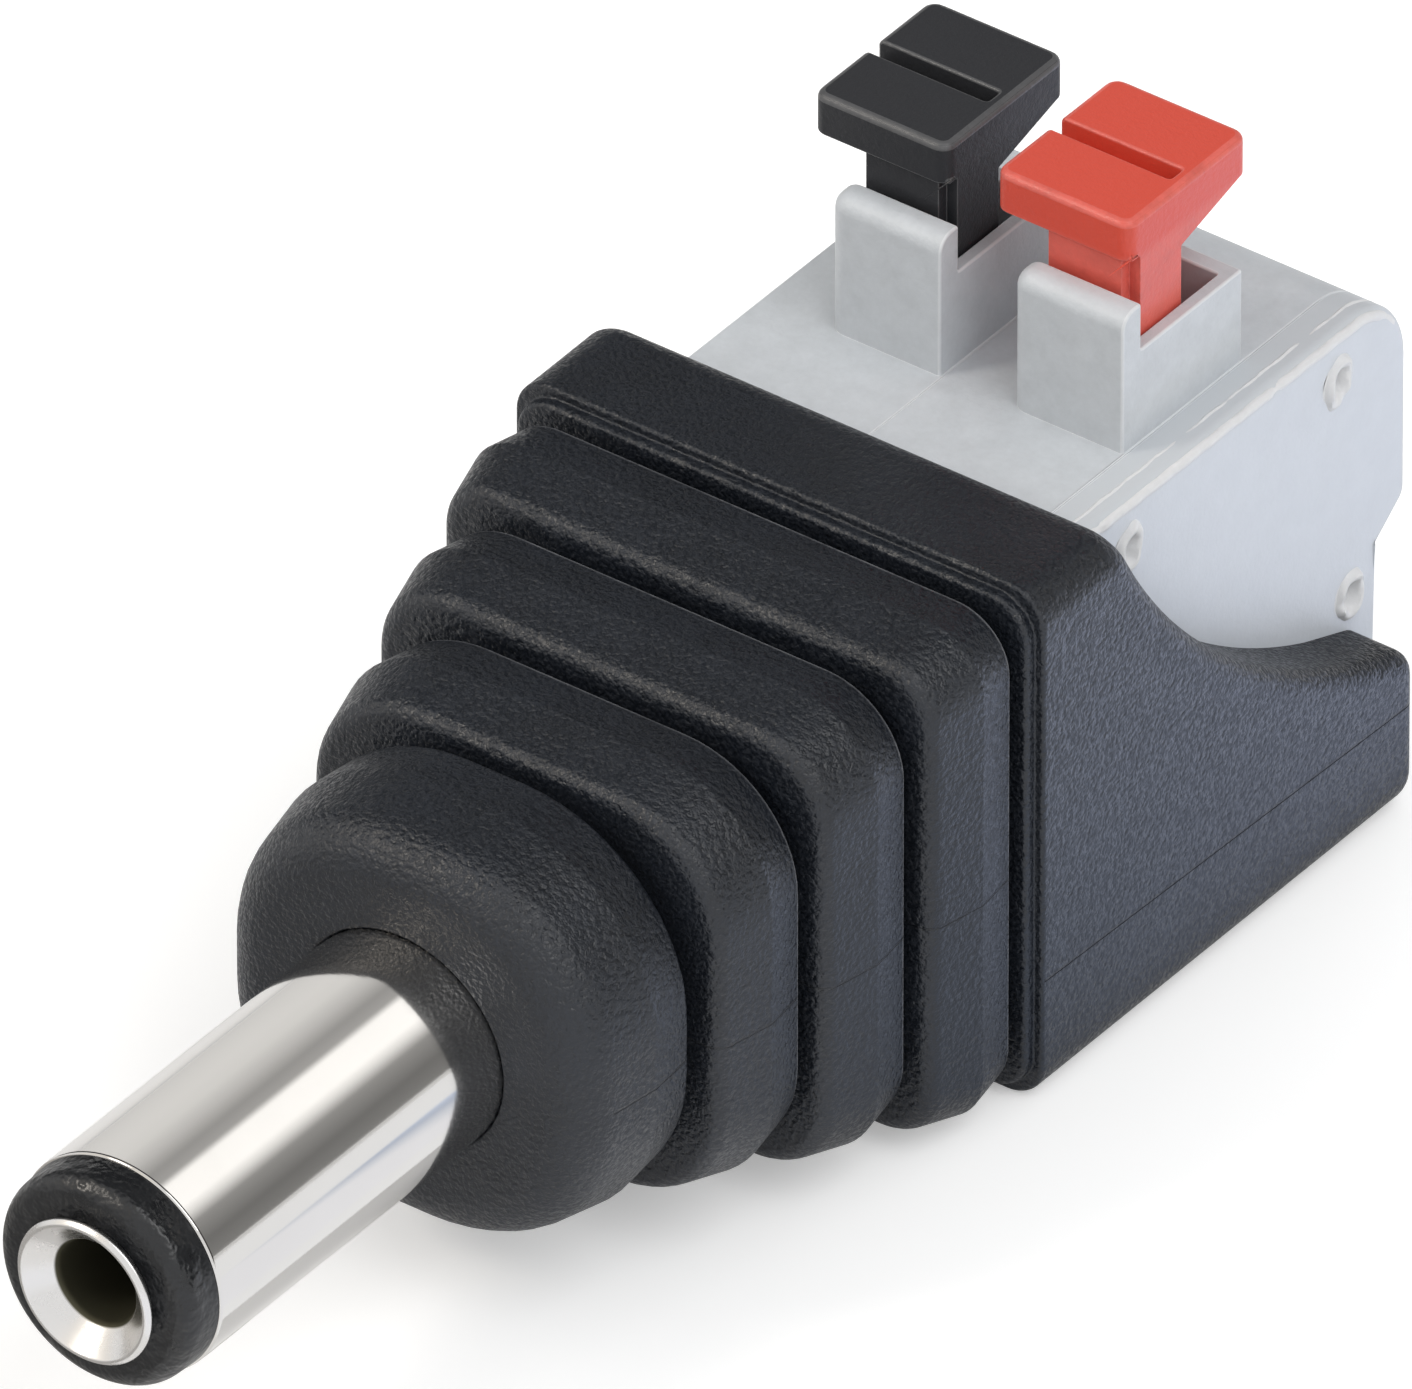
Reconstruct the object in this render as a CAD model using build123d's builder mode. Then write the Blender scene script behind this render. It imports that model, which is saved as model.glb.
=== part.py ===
from build123d import *
from math import cos, radians, sin
import os

os.makedirs("parts", exist_ok=True)

# A 5.5 x 2.1 mm DC plug moulded onto a two-pole push-button terminal block.
# Frame: the origin is on the barrel's axis where the sleeve leaves the housing.
# -Y points out of the barrel, +Z to the push buttons, +X to the end plate.
# All sizes are in millimetres.

# ---------------------------------------------------------------- driving sizes

# Barrel: nickel-plated sleeve, insulator and centre contact
sleeve_diameter = 5.5
sleeve_wall = 0.5
sleeve_reach = 10.3          # from the housing's nose to the sleeve's front edge
sleeve_lip = 0.1             # bevel on the sleeve's front edge
anchor_groove_y = 0.1        # groove and flange that hold the sleeve in the moulding
anchor_groove_depth = 0.2
anchor_flange_y = 1.2
anchor_flange_thickness = 0.8
anchor_flange_height = 0.85
stake_length = 0.3           # rolled edge that holds the sleeve's lug
stake_height = 0.2

tip_ring_length = 1.05       # black ring in front of the sleeve
tip_ring_inset = 0.05
tip_ring_draft = 0.05        # the ring narrows by this from the sleeve to its face
tip_ring_round = 0.68

contact_bore = 2.1
contact_wall = 0.35
contact_rim_diameter = 3.7   # flared mouth
contact_rim_reach = 0.4      # rim in front of the tip ring
contact_rim_lip = 0.15
contact_flare_length = 0.55
funnel_depth = 0.6
contact_bore_depth = 9.8
contact_tail_diameter = 1.6
contact_stake_diameter = 2.3
contact_stake_length = 0.35

# Solder lugs at the barrel's rear
lug_thickness = 0.4
lug_strip_width = 1.4
sleeve_lug_margin = 0.95     # ring width outside the sleeve
centre_lug_margin = 1.1      # ring width outside the contact's tail
lug_overlap = 1.4            # length of lug under each terminal pin
lug_root_gap = 0.06          # between a tab and the washer it passes
lug_jog_y = 7.6
lug_jog_length = 1.4
rear_washer_thickness = 1.0
rear_washer_margin = 0.2     # washer outside the sleeve

# Terminal block
pole_pitch = 5.0
pole_count = 2
end_plate_thickness = 1.1
block_front_y = 15.2
block_length = 14.9          # front wall to the upper rear face
block_step_depth = 1.3       # lower rear face in front of the upper one
block_step_z = -0.2
block_step_drop = 1.0
block_step_round = 0.5
block_top_z = 5.65
block_crown_round = 2.0      # rounded top rear edge
block_roof = 0.85
block_wall = 0.8
pole_side_wall = 0.7
end_plate_round = 0.3

wire_hole_diameter = 2.4
wire_hole_z = 2.0
wire_hole_offset = 3.2       # from the pole's left side
wire_funnel_diameter = 3.4
wire_funnel_depth = 0.6

peg_diameter = 1.05
peg_proud = 0.12             # peg showing outside the end plate
peg_boss_wall = 0.27
peg_front_offset = 4.3       # from the block's front
peg_rear_offset = 2.7        # from the upper rear face
peg_top_drop = 1.3           # from the block's top
peg_low_offset = 0.9         # from the lower rear face
peg_low_drop = 1.55          # below the rear step

# Push-button collar on each pole
collar_front_y = 20.85
collar_length = 4.5
collar_width = 3.1
collar_right_gap = 0.05
collar_front_wall = 0.7
collar_side_wall = 0.35
collar_rear_wall = 0.45
collar_height = 2.45
collar_front_height = 3.7
collar_front_round = 0.45

# Push button
button_clearance = 0.05
button_head_width = 3.7
button_head_length = 4.5
button_head_thickness = 1.05
button_head_top_z = 11.22
button_corner_round = 0.35
button_edge = 0.1
button_slot_width = 0.66
button_slot_depth = 0.55
button_slot_end = 0.35
stem_length = 1.85           # along Y
stem_setback = 0.12
stem_groove = 0.3
wedge_rise = 0.6
hook_reach = 0.8
hook_height = 0.85
press_travel = 1.3

# Current bar, solder pin and clamp spring of each pole
bar_thickness = 0.8
bar_clearance = 0.05
bar_stem_gap = 0.45          # between the push button's stem and the bar
bar_peg_gap = 0.355          # between the bar and the rear peg's boss
bar_strip_width = 1.3
bar_leg_y = 20.7
bar_pin_width = 1.0
bar_pin_z = -1.1
bar_pin_reach = 3.0          # pin in front of the block
spring_thickness = 0.3
spring_bend = 1.2
spring_margin = 0.05
spring_side_gap = 0.15       # between the spring and the bar's strip
spring_rear_gap = 0.1        # base's bend in front of the bar's rear edge
spring_tongue_offset = 0.45  # tongue's bend behind the bar's front edge
spring_tip_offset = 0.1      # tongue's tip behind the stem's front
solder_width = 1.36
solder_height = 1.2
solder_slope = 0.1
solder_reach = 0.35          # solder in front of the pin

# Overmoulded housing
housing_side_wall = 1.7
housing_roof = 1.25
housing_floor = 1.3
housing_end_y = 28.2
housing_band_rear_y = 16.95  # rear edge of the closed band around the block
housing_rim_z = -2.8         # lowest part of the side walls' rim
housing_rim_mid_y = 21.5
housing_rim_mid_z = 0.85
housing_rim_round = 0.5
housing_corner = 1.0
housing_end_edge = 0.5
band_edge = 0.2
band_ring_length = 0.3       # stepped ring in front of the band
band_ring_inset = 0.25

nose_length = 4.2
nose_half_width = 4.95
nose_half_height = 4.95
nose_crease = 2.3
nose_round = 1.2
rib_count = 3
rib_pitch = 3.17
rib_step = 0.56              # each rib is this much smaller than the next
rib_corner_growth = 1.45     # corners grow rounder towards the nose
rib_rise = 0.32              # widening from a rib's front edge to its crease
rib_crease = 1.55
rib_fall = 0.1
rib_round = 0.4
round_steps = 3              # steps in the rounded front edges
groove_width = 0.55
groove_depth = 1.1

# ------------------------------------------------------------------ worked out

sleeve_radius = sleeve_diameter / 2
sleeve_bore_radius = sleeve_radius - sleeve_wall
anchor_flange_rear = anchor_flange_y + anchor_flange_thickness
sleeve_stake_y = anchor_flange_rear + lug_thickness
sleeve_end_y = sleeve_stake_y + stake_length
washer_rear_y = sleeve_end_y + rear_washer_thickness
centre_lug_rear_y = washer_rear_y + lug_thickness

tip_face_y = -sleeve_reach - tip_ring_length
tip_ring_radius = sleeve_radius - tip_ring_inset
rim_front_y = tip_face_y - contact_rim_reach
contact_bore_radius = contact_bore / 2
contact_radius = contact_bore_radius + contact_wall
contact_rim_radius = contact_rim_diameter / 2
contact_tail_radius = contact_tail_diameter / 2
flare_end_y = rim_front_y + contact_rim_lip
flare_start_y = flare_end_y + contact_flare_length
flare_slope = (contact_rim_radius - contact_radius) / contact_flare_length
flare_radius_at_face = contact_radius + flare_slope * (flare_start_y - tip_face_y)

block_width = pole_count * pole_pitch + end_plate_thickness
block_left = -block_width / 2
pole_lefts = [block_left + index * pole_pitch for index in range(pole_count)]
end_plate_left = block_left + pole_count * pole_pitch
block_rear_y = block_front_y + block_length
block_lower_rear_y = block_rear_y - block_step_depth

housing_half_width = block_width / 2 + housing_side_wall
housing_half_height = block_top_z + housing_roof
block_bottom_z = -housing_half_height + housing_floor

cavity_floor_z = block_bottom_z + block_wall
cavity_roof_z = block_top_z - block_roof
cavity_front_y = block_front_y + block_wall
cavity_rear_y = block_lower_rear_y - block_wall

peg_radius = peg_diameter / 2
peg_places = [
    (block_front_y + peg_front_offset, block_top_z - peg_top_drop),
    (block_rear_y - peg_rear_offset, block_top_z - peg_top_drop),
    (block_lower_rear_y - peg_low_offset, block_step_z - peg_low_drop),
]

collar_left_offset = pole_pitch - collar_right_gap - collar_width
well_left_offset = collar_left_offset + collar_side_wall
well_width = collar_width - 2 * collar_side_wall
well_front_y = collar_front_y + collar_front_wall
well_rear_y = collar_front_y + collar_length - collar_rear_wall
collar_top_z = block_top_z + collar_height
collar_front_top_z = block_top_z + collar_front_height

stem_width = well_width - 2 * button_clearance
stem_left_offset = well_left_offset + button_clearance
button_right_offset = stem_left_offset + stem_width
head_front_y = well_front_y + button_clearance + 0.03
head_rear_y = head_front_y + button_head_length
head_bottom_z = button_head_top_z - button_head_thickness
stem_front_y = head_front_y + stem_setback
stem_rear_y = stem_front_y + stem_length
hook_top_z = cavity_roof_z - button_clearance

bar_bottom_z = wire_hole_z + wire_hole_diameter / 2 + bar_clearance * 2
bar_top_z = bar_bottom_z + bar_thickness
bar_front_y = stem_rear_y + bar_stem_gap
bar_rear_y = peg_places[1][0] - peg_radius - peg_boss_wall - bar_peg_gap
bar_left_offset = pole_side_wall + bar_clearance
stem_foot_z = bar_bottom_z
pin_front_y = block_front_y - bar_pin_reach
pin_bottom_z = bar_pin_z - bar_thickness / 2
pin_centre_offset = bar_left_offset + bar_strip_width / 2
pin_xs = [left + pin_centre_offset for left in pole_lefts]
lug_end_y = pin_front_y + lug_overlap
spring_left_offset = bar_left_offset + bar_strip_width + spring_side_gap
spring_width = button_right_offset - spring_left_offset

first_rib_y = nose_length
band_ring_y = first_rib_y + rib_count * rib_pitch
band_front_y = band_ring_y + band_ring_length


# ------------------------------------------------------------------- the barrel

with BuildPart() as contact_sleeve:
    with BuildSketch(Plane.XY):
        with BuildLine():
            Polyline(
                (sleeve_bore_radius, -sleeve_reach),
                (sleeve_radius, -sleeve_reach),
                (sleeve_radius, anchor_groove_y),
                (sleeve_radius - anchor_groove_depth, anchor_groove_y),
                (sleeve_radius - anchor_groove_depth, anchor_flange_y),
                (sleeve_radius + anchor_flange_height, anchor_flange_y),
                (sleeve_radius + anchor_flange_height, anchor_flange_rear),
                (sleeve_radius, anchor_flange_rear),
                (sleeve_radius, sleeve_stake_y),
                (sleeve_radius + stake_height, sleeve_stake_y),
                (sleeve_radius + stake_height, sleeve_end_y),
                (sleeve_bore_radius, sleeve_end_y),
                close=True,
            )
        make_face()
    revolve(axis=Axis.Y)
    chamfer(contact_sleeve.edges().group_by(Axis.Y)[0], sleeve_lip)
contact_sleeve.part.label = "contact_sleeve"

with BuildPart() as tip_insulator:
    with BuildSketch(Plane.XY) as tip_section:
        with BuildLine():
            Polyline(
                (contact_radius, sleeve_end_y),
                (contact_radius, flare_start_y),
                (flare_radius_at_face, tip_face_y),
                (tip_ring_radius - tip_ring_draft, tip_face_y),
                (tip_ring_radius, -sleeve_reach),
                (sleeve_bore_radius, -sleeve_reach),
                (sleeve_bore_radius, sleeve_end_y),
                close=True,
            )
        make_face()
        tip_corner = tip_section.vertices().group_by(Axis.Y)[0].sort_by(Axis.X)[-1]
        fillet(tip_corner, tip_ring_round)
    revolve(axis=Axis.Y)
tip_insulator.part.label = "tip_insulator"

with BuildPart() as centre_contact:
    with BuildSketch(Plane.XY):
        with BuildLine():
            bore_end_y = rim_front_y + contact_bore_depth
            Polyline(
                (0, bore_end_y + contact_bore_radius / 2),
                (contact_bore_radius, bore_end_y),
                (contact_bore_radius, rim_front_y + funnel_depth),
                (contact_rim_radius - contact_rim_lip, rim_front_y),
                (contact_rim_radius, flare_end_y),
                (contact_radius, flare_start_y),
                (contact_radius, sleeve_end_y),
                (contact_tail_radius, sleeve_end_y),
                (contact_tail_radius, centre_lug_rear_y),
                (contact_stake_diameter / 2, centre_lug_rear_y),
                (contact_stake_diameter / 2, centre_lug_rear_y + contact_stake_length),
                (0, centre_lug_rear_y + contact_stake_length),
                close=True,
            )
        make_face()
    revolve(axis=Axis.Y)
centre_contact.part.label = "centre_contact"

with BuildPart() as rear_washer:
    with BuildSketch(Plane.XZ.offset(-sleeve_end_y)):
        Circle(sleeve_radius + rear_washer_margin)
        Circle(contact_tail_radius, mode=Mode.SUBTRACT)
    extrude(amount=-rear_washer_thickness)
rear_washer.part.label = "rear_washer"

lug_top_z = pin_bottom_z
lug_bottom_z = lug_top_z - lug_thickness
widest_inside = sleeve_radius + max(stake_height, rear_washer_margin)
lug_inner_edge = (widest_inside**2 - lug_top_z**2) ** 0.5 + lug_root_gap
lug_root_reach = lug_inner_edge + lug_strip_width / 2


def solder_lug(front_y, hole_radius, ring_radius, pin_x):
    """A stamped ring with a tab bent back, then sideways under the terminal pin
    at pin_x. The tab leaves the ring at lug_root_reach, or nearer the axis."""
    root_x = max(-lug_root_reach, min(lug_root_reach, pin_x))
    half = lug_strip_width / 2
    with BuildPart() as lug:
        with BuildSketch(Plane.XZ.offset(-front_y)):
            Circle(ring_radius)
            with Locations((root_x, lug_bottom_z)):
                Rectangle(lug_strip_width, lug_thickness, align=(Align.CENTER, Align.MIN))
            Circle(hole_radius, mode=Mode.SUBTRACT)
        extrude(amount=-lug_thickness)
        with BuildSketch(Plane.XY.offset(lug_bottom_z)):
            with BuildLine():
                Polyline(
                    (root_x - half, front_y),
                    (root_x + half, front_y),
                    (root_x + half, lug_jog_y),
                    (pin_x + half, lug_jog_y + lug_jog_length),
                    (pin_x + half, lug_end_y),
                    (pin_x - half, lug_end_y),
                    (pin_x - half, lug_jog_y + lug_jog_length),
                    (root_x - half, lug_jog_y),
                    close=True,
                )
            make_face()
        extrude(amount=lug_thickness)
        with BuildSketch(Plane.XZ.offset(-front_y)):
            Circle(hole_radius)
        extrude(amount=-lug_thickness, mode=Mode.SUBTRACT)
    return lug.part


negative_x, positive_x = pin_xs[0], pin_xs[-1]
sleeve_lug = solder_lug(
    anchor_flange_rear, sleeve_radius, sleeve_radius + sleeve_lug_margin, negative_x
)
sleeve_lug.label = "sleeve_lug"
centre_lug = solder_lug(
    washer_rear_y, contact_tail_radius, contact_tail_radius + centre_lug_margin, positive_x
)
centre_lug.label = "centre_lug"


# ----------------------------------------------------------- the terminal block

def block_side(x):
    """The block's side view as a sketch at x: straight front, rounded top rear
    edge, and a step inwards on the rear below the wire entries."""
    with BuildSketch(Plane.YZ.offset(x)) as side:
        with BuildLine():
            Polyline(
                (block_front_y, block_bottom_z),
                (block_front_y, block_top_z),
                (block_rear_y, block_top_z),
                (block_rear_y, block_step_z),
                (block_lower_rear_y, block_step_z - block_step_drop),
                (block_lower_rear_y, block_bottom_z),
                close=True,
            )
        make_face()
        top_rear_corner = side.vertices().sort_by(Axis.X)[2:].sort_by(Axis.Y)[-1]
        fillet(top_rear_corner, block_crown_round)
        step_corners = side.vertices().filter_by_position(
            Axis.Y, block_step_z - block_step_drop, block_step_z
        )
        fillet(step_corners, block_step_round)
    return side.sketch


def terminal_body(left, peg_length):
    """One pole's moulding, from its left wall to its open right side, with the
    collar for its push button and the pegs that hold the next piece."""
    right = left + pole_pitch
    open_depth = pole_pitch - pole_side_wall
    with BuildPart() as body:
        extrude(block_side(left), amount=pole_pitch)

        # Inside: the chamber for the clamp, open on the right
        with BuildSketch(Plane.YZ.offset(right)):
            with Locations((cavity_front_y, cavity_floor_z)):
                Rectangle(
                    cavity_rear_y - cavity_front_y,
                    cavity_roof_z - cavity_floor_z,
                    align=(Align.MIN, Align.MIN),
                )
            with Locations(*peg_places):
                Circle(peg_radius + peg_boss_wall, mode=Mode.SUBTRACT)
        extrude(amount=-open_depth, mode=Mode.SUBTRACT)

        # Collar round the push button, with a taller front wall
        with BuildSketch(Plane.XY.offset(block_top_z)):
            with Locations((left + collar_left_offset, collar_front_y)):
                Rectangle(collar_width, collar_length, align=(Align.MIN, Align.MIN))
        extrude(amount=collar_height)
        with BuildSketch(Plane.XZ.offset(-collar_front_y)) as front_wall:
            with Locations((left + collar_left_offset, block_top_z)):
                Rectangle(
                    collar_width, collar_front_height, align=(Align.MIN, Align.MIN)
                )
            fillet(
                front_wall.vertices().group_by(Axis.Y)[-1].sort_by(Axis.X)[0],
                collar_front_round,
            )
        extrude(amount=-collar_front_wall)
        fillet(
            body.edges().filter_by(Axis.X).group_by(Axis.Z)[-1].sort_by(Axis.Y)[0],
            collar_front_round,
        )
        with BuildSketch(Plane.XY.offset(collar_top_z)):
            with Locations((left + well_left_offset, well_front_y)):
                Rectangle(
                    well_width, well_rear_y - well_front_y, align=(Align.MIN, Align.MIN)
                )
        extrude(amount=cavity_roof_z - collar_top_z, mode=Mode.SUBTRACT)

        # Wire entry with a funnel
        with Locations(
            Plane(
                origin=(left + wire_hole_offset, block_rear_y, wire_hole_z), z_dir=(0, 1, 0)
            )
        ):
            CounterSinkHole(
                wire_hole_diameter / 2,
                wire_funnel_diameter / 2,
                depth=block_rear_y - cavity_rear_y,
                counter_sink_angle=80,
            )

        # Slot for the solder pin through the front wall
        with BuildSketch(Plane.XZ.offset(-block_front_y)):
            with Locations((left + pin_centre_offset, bar_pin_z)):
                Rectangle(bar_pin_width, bar_thickness)
        extrude(amount=-block_wall, mode=Mode.SUBTRACT)

        # Pegs on the right. The last pole's show outside the end plate; the others
        # go into sockets in the next pole's wall.
        with BuildSketch(Plane.YZ.offset(right)):
            with Locations(*peg_places):
                Circle(peg_radius)
        extrude(amount=peg_length)
        if left > block_left:
            with BuildSketch(Plane.YZ.offset(left)):
                with Locations(*peg_places):
                    Circle(peg_radius)
            extrude(amount=socket_depth, mode=Mode.SUBTRACT)
    return body.part


def contact_bar(left):
    """A copper bar over the wire, with a strip and a leg down to the solder pin."""
    strip_left = left + bar_left_offset
    leg_bottom_z = pin_bottom_z
    with BuildPart() as bar:
        with BuildSketch(Plane.XY.offset(bar_bottom_z)):
            with Locations((strip_left, bar_front_y)):
                Rectangle(
                    left + button_right_offset - strip_left,
                    bar_rear_y - bar_front_y,
                    align=(Align.MIN, Align.MIN),
                )
            with Locations((strip_left, bar_leg_y)):
                Rectangle(
                    bar_strip_width, bar_rear_y - bar_leg_y, align=(Align.MIN, Align.MIN)
                )
        extrude(amount=bar_thickness)
        with BuildSketch(Plane.XY.offset(leg_bottom_z)):
            with Locations((strip_left, bar_leg_y)):
                Rectangle(bar_strip_width, bar_thickness, align=(Align.MIN, Align.MIN))
        extrude(amount=bar_top_z - leg_bottom_z)
        with BuildSketch(Plane.XY.offset(leg_bottom_z)):
            with Locations((left + pin_centre_offset, pin_front_y)):
                Rectangle(
                    bar_pin_width, bar_leg_y - pin_front_y, align=(Align.CENTER, Align.MIN)
                )
        extrude(amount=bar_thickness)
    return bar.part


def clamp_spring(left):
    """A leaf: base on the chamber's floor, a bend, a leg up to the bar and a
    tongue forward under the push button's foot."""
    base_z = cavity_floor_z + spring_margin + spring_thickness / 2
    tongue_z = stem_foot_z - spring_margin - spring_thickness / 2
    with BuildPart() as spring:
        with BuildSketch(Plane.YZ.offset(left + spring_left_offset)):
            with BuildLine():
                FilletPolyline(
                    (cavity_front_y + peg_front_offset, base_z),
                    (bar_rear_y - spring_rear_gap, base_z),
                    (bar_front_y + spring_tongue_offset, tongue_z),
                    (stem_front_y + spring_tip_offset, tongue_z),
                    radius=spring_bend,
                )
            trace(line_width=spring_thickness)
        extrude(amount=spring_width)
    return spring.part


def solder_joint(pin_x, pin):
    """Solder heaped round the pin's end on its lug."""
    length = lug_overlap + solder_reach
    with BuildPart() as joint:
        for height in (0, solder_height):
            shrink = solder_slope * height
            with BuildSketch(Plane.XY.offset(lug_top_z + height)):
                with Locations((pin_x, lug_end_y - length / 2)):
                    Rectangle(solder_width - 2 * shrink, length - 2 * shrink)
        loft()
        add(pin, mode=Mode.SUBTRACT)
    return joint.part


def push_button(left):
    """A slotted head, a stem in the collar, a wedge under the head's rear and a
    hook that holds the button in."""
    right = left + button_right_offset
    head_left = right - button_head_width
    stem_left = left + stem_left_offset
    with BuildPart() as button:
        with BuildSketch(Plane.XY.offset(head_bottom_z)):
            with Locations(((head_left + right) / 2, (head_front_y + head_rear_y) / 2)):
                RectangleRounded(button_head_width, button_head_length, button_corner_round)
        extrude(amount=button_head_thickness)
        chamfer(button.edges().group_by(Axis.Z)[-1], button_edge)

        with BuildSketch(Plane.XY.offset(button_head_top_z)):
            with Locations((head_left, (head_front_y + head_rear_y) / 2)):
                Rectangle(
                    button_head_width - button_slot_end,
                    button_slot_width,
                    align=(Align.MIN, Align.CENTER),
                )
        extrude(amount=-button_slot_depth, mode=Mode.SUBTRACT)

        with BuildSketch(Plane.YZ.offset(stem_left)):
            with BuildLine():
                Polyline(
                    (stem_front_y, head_bottom_z + button_edge),
                    (stem_front_y, hook_top_z),
                    (stem_front_y - hook_reach, hook_top_z - hook_height / 3),
                    (stem_front_y - hook_reach, hook_top_z - hook_height),
                    (stem_front_y, hook_top_z - hook_height),
                    (stem_front_y, stem_foot_z),
                    (stem_rear_y, stem_foot_z),
                    (stem_rear_y, head_bottom_z - wedge_rise),
                    (head_rear_y - button_corner_round, head_bottom_z),
                    (head_rear_y - button_corner_round, head_bottom_z + button_edge),
                    close=True,
                )
            make_face()
        extrude(amount=stem_width)

        # Guide groove down the stem's front right corner
        with BuildSketch(Plane.XY.offset(head_bottom_z)):
            with Locations((right, stem_front_y)):
                Rectangle(2 * stem_groove, 2 * stem_groove)
        extrude(amount=stem_foot_z - head_bottom_z, mode=Mode.SUBTRACT)
    return button.part


socket_depth = pole_side_wall * 0.75
poles = {"negative": pole_lefts[0], "positive": pole_lefts[-1]}
peg_lengths = {
    "negative": socket_depth - 0.05,
    "positive": end_plate_thickness + peg_proud,
}

bodies, bars, springs, joints, buttons = {}, {}, {}, {}, {}
for pole, left in poles.items():
    bodies[pole] = terminal_body(left, peg_lengths[pole])
    bars[pole] = contact_bar(left)
    springs[pole] = clamp_spring(left)
    joints[pole] = solder_joint(left + pin_centre_offset, bars[pole])
    buttons[pole] = push_button(left)

with BuildPart() as end_plate:
    extrude(block_side(end_plate_left), amount=end_plate_thickness)
    with BuildSketch(Plane.YZ.offset(end_plate_left)):
        with Locations(*peg_places):
            Circle(peg_radius)
    extrude(amount=end_plate_thickness, mode=Mode.SUBTRACT)
    outer_edges = end_plate.faces().sort_by(Axis.X)[-1].outer_wire().edges()
    fillet(
        outer_edges.filter_by_position(Axis.Z, block_step_z, block_top_z, (False, True)),
        end_plate_round,
    )
end_plate.part.label = "end_plate"


# ------------------------------------------------------------------ the housing

def section(y, half_width, half_height, corner):
    """A rounded-rectangle section of the housing, square to the barrel, at y."""
    with BuildSketch(Plane.XZ.offset(-y)) as outline:
        RectangleRounded(2 * half_width, 2 * half_height, corner)
    return outline.sketch


def strain_rib(front_y, length, crease, half_width, half_height, corner, edge_round):
    """The nose or a rib: its front edge is rounded in steps, it widens from there
    to a crease, then draws in a little towards the groove behind it."""
    sections = []
    for step in range(round_steps + 1):
        angle = radians(90 * step / round_steps)
        depth = edge_round * (1 - cos(angle))
        inset = edge_round * (1 - sin(angle)) - rib_rise * depth / crease
        sections.append(
            section(
                front_y + depth, half_width - inset, half_height - inset, corner - inset
            )
        )
    crease_width = half_width + rib_rise
    crease_height = half_height + rib_rise
    sections.append(section(front_y + crease, crease_width, crease_height, corner))
    end_width = crease_width - rib_fall
    end_height = crease_height - rib_fall
    sections.append(
        section(front_y + length - groove_width, end_width, end_height, corner)
    )
    with BuildPart() as rib:
        loft(sections, ruled=True)
    return rib.part


nose_corner = housing_corner * rib_corner_growth ** (rib_count + 1)
nose = strain_rib(
    0, nose_length, nose_crease, nose_half_width, nose_half_height, nose_corner, nose_round
)
ribs = []
for index in range(rib_count):
    steps = rib_count - index
    ribs.append(
        strain_rib(
            first_rib_y + index * rib_pitch,
            rib_pitch,
            rib_crease,
            housing_half_width - steps * rib_step,
            housing_half_height - steps * rib_step,
            housing_corner * rib_corner_growth**steps,
            rib_round,
        )
    )
core_drop = groove_depth - rib_rise + rib_fall

with BuildPart() as housing:
    # Closed band and tub round the block
    with BuildSketch(Plane.XZ.offset(-band_front_y)):
        RectangleRounded(2 * housing_half_width, 2 * housing_half_height, housing_corner)
    extrude(amount=-(housing_end_y - band_front_y))
    chamfer(housing.edges().group_by(Axis.Y)[0], band_edge)
    chamfer(housing.edges().group_by(Axis.Y)[-1], housing_end_edge)

    # The side walls dip in a curve behind the band; their rim is rounded outside
    with BuildSketch(Plane.YZ.offset(-housing_half_width)):
        with BuildLine():
            ThreePointArc(
                (housing_band_rear_y, housing_half_height),
                (housing_rim_mid_y, housing_rim_mid_z),
                (housing_end_y, housing_rim_z),
            )
            Polyline(
                (housing_end_y, housing_rim_z),
                (housing_end_y, housing_half_height),
                (housing_band_rear_y, housing_half_height),
            )
        make_face()
    extrude(amount=2 * housing_half_width, mode=Mode.SUBTRACT)
    rim_edges = housing.edges().filter_by(GeomType.CIRCLE).sort_by(SortBy.LENGTH)[-2:]
    fillet(rim_edges, housing_rim_round)

    # Stepped ring, core, ribs and nose
    with BuildSketch(Plane.XZ.offset(-band_ring_y)):
        RectangleRounded(
            2 * (housing_half_width - band_ring_inset),
            2 * (housing_half_height - band_ring_inset),
            housing_corner,
        )
    extrude(amount=-band_ring_length)
    loft(
        [
            section(
                nose_crease,
                nose_half_width - core_drop,
                nose_half_height - core_drop,
                nose_corner - core_drop,
            ),
            section(
                band_ring_y,
                housing_half_width - rib_step - core_drop,
                housing_half_height - rib_step - core_drop,
                housing_corner,
            ),
        ],
        ruled=True,
    )
    add(nose)
    for rib in ribs:
        add(rib)

    # Space for the terminal block, open above and behind
    with BuildSketch(Plane.XZ.offset(-block_front_y)):
        with Locations((0, block_bottom_z)):
            Rectangle(
                block_width, block_top_z - block_bottom_z, align=(Align.CENTER, Align.MIN)
            )
    extrude(amount=-block_length, mode=Mode.SUBTRACT)

    # The moulding closes round all that it holds
    add(
        [contact_sleeve.part, tip_insulator.part, centre_contact.part, rear_washer.part],
        mode=Mode.SUBTRACT,
    )
    add([sleeve_lug, centre_lug, *joints.values(), *bars.values()], mode=Mode.SUBTRACT)
housing.part.label = "housing"


# ---------------------------------------------------------------- write the pieces

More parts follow.
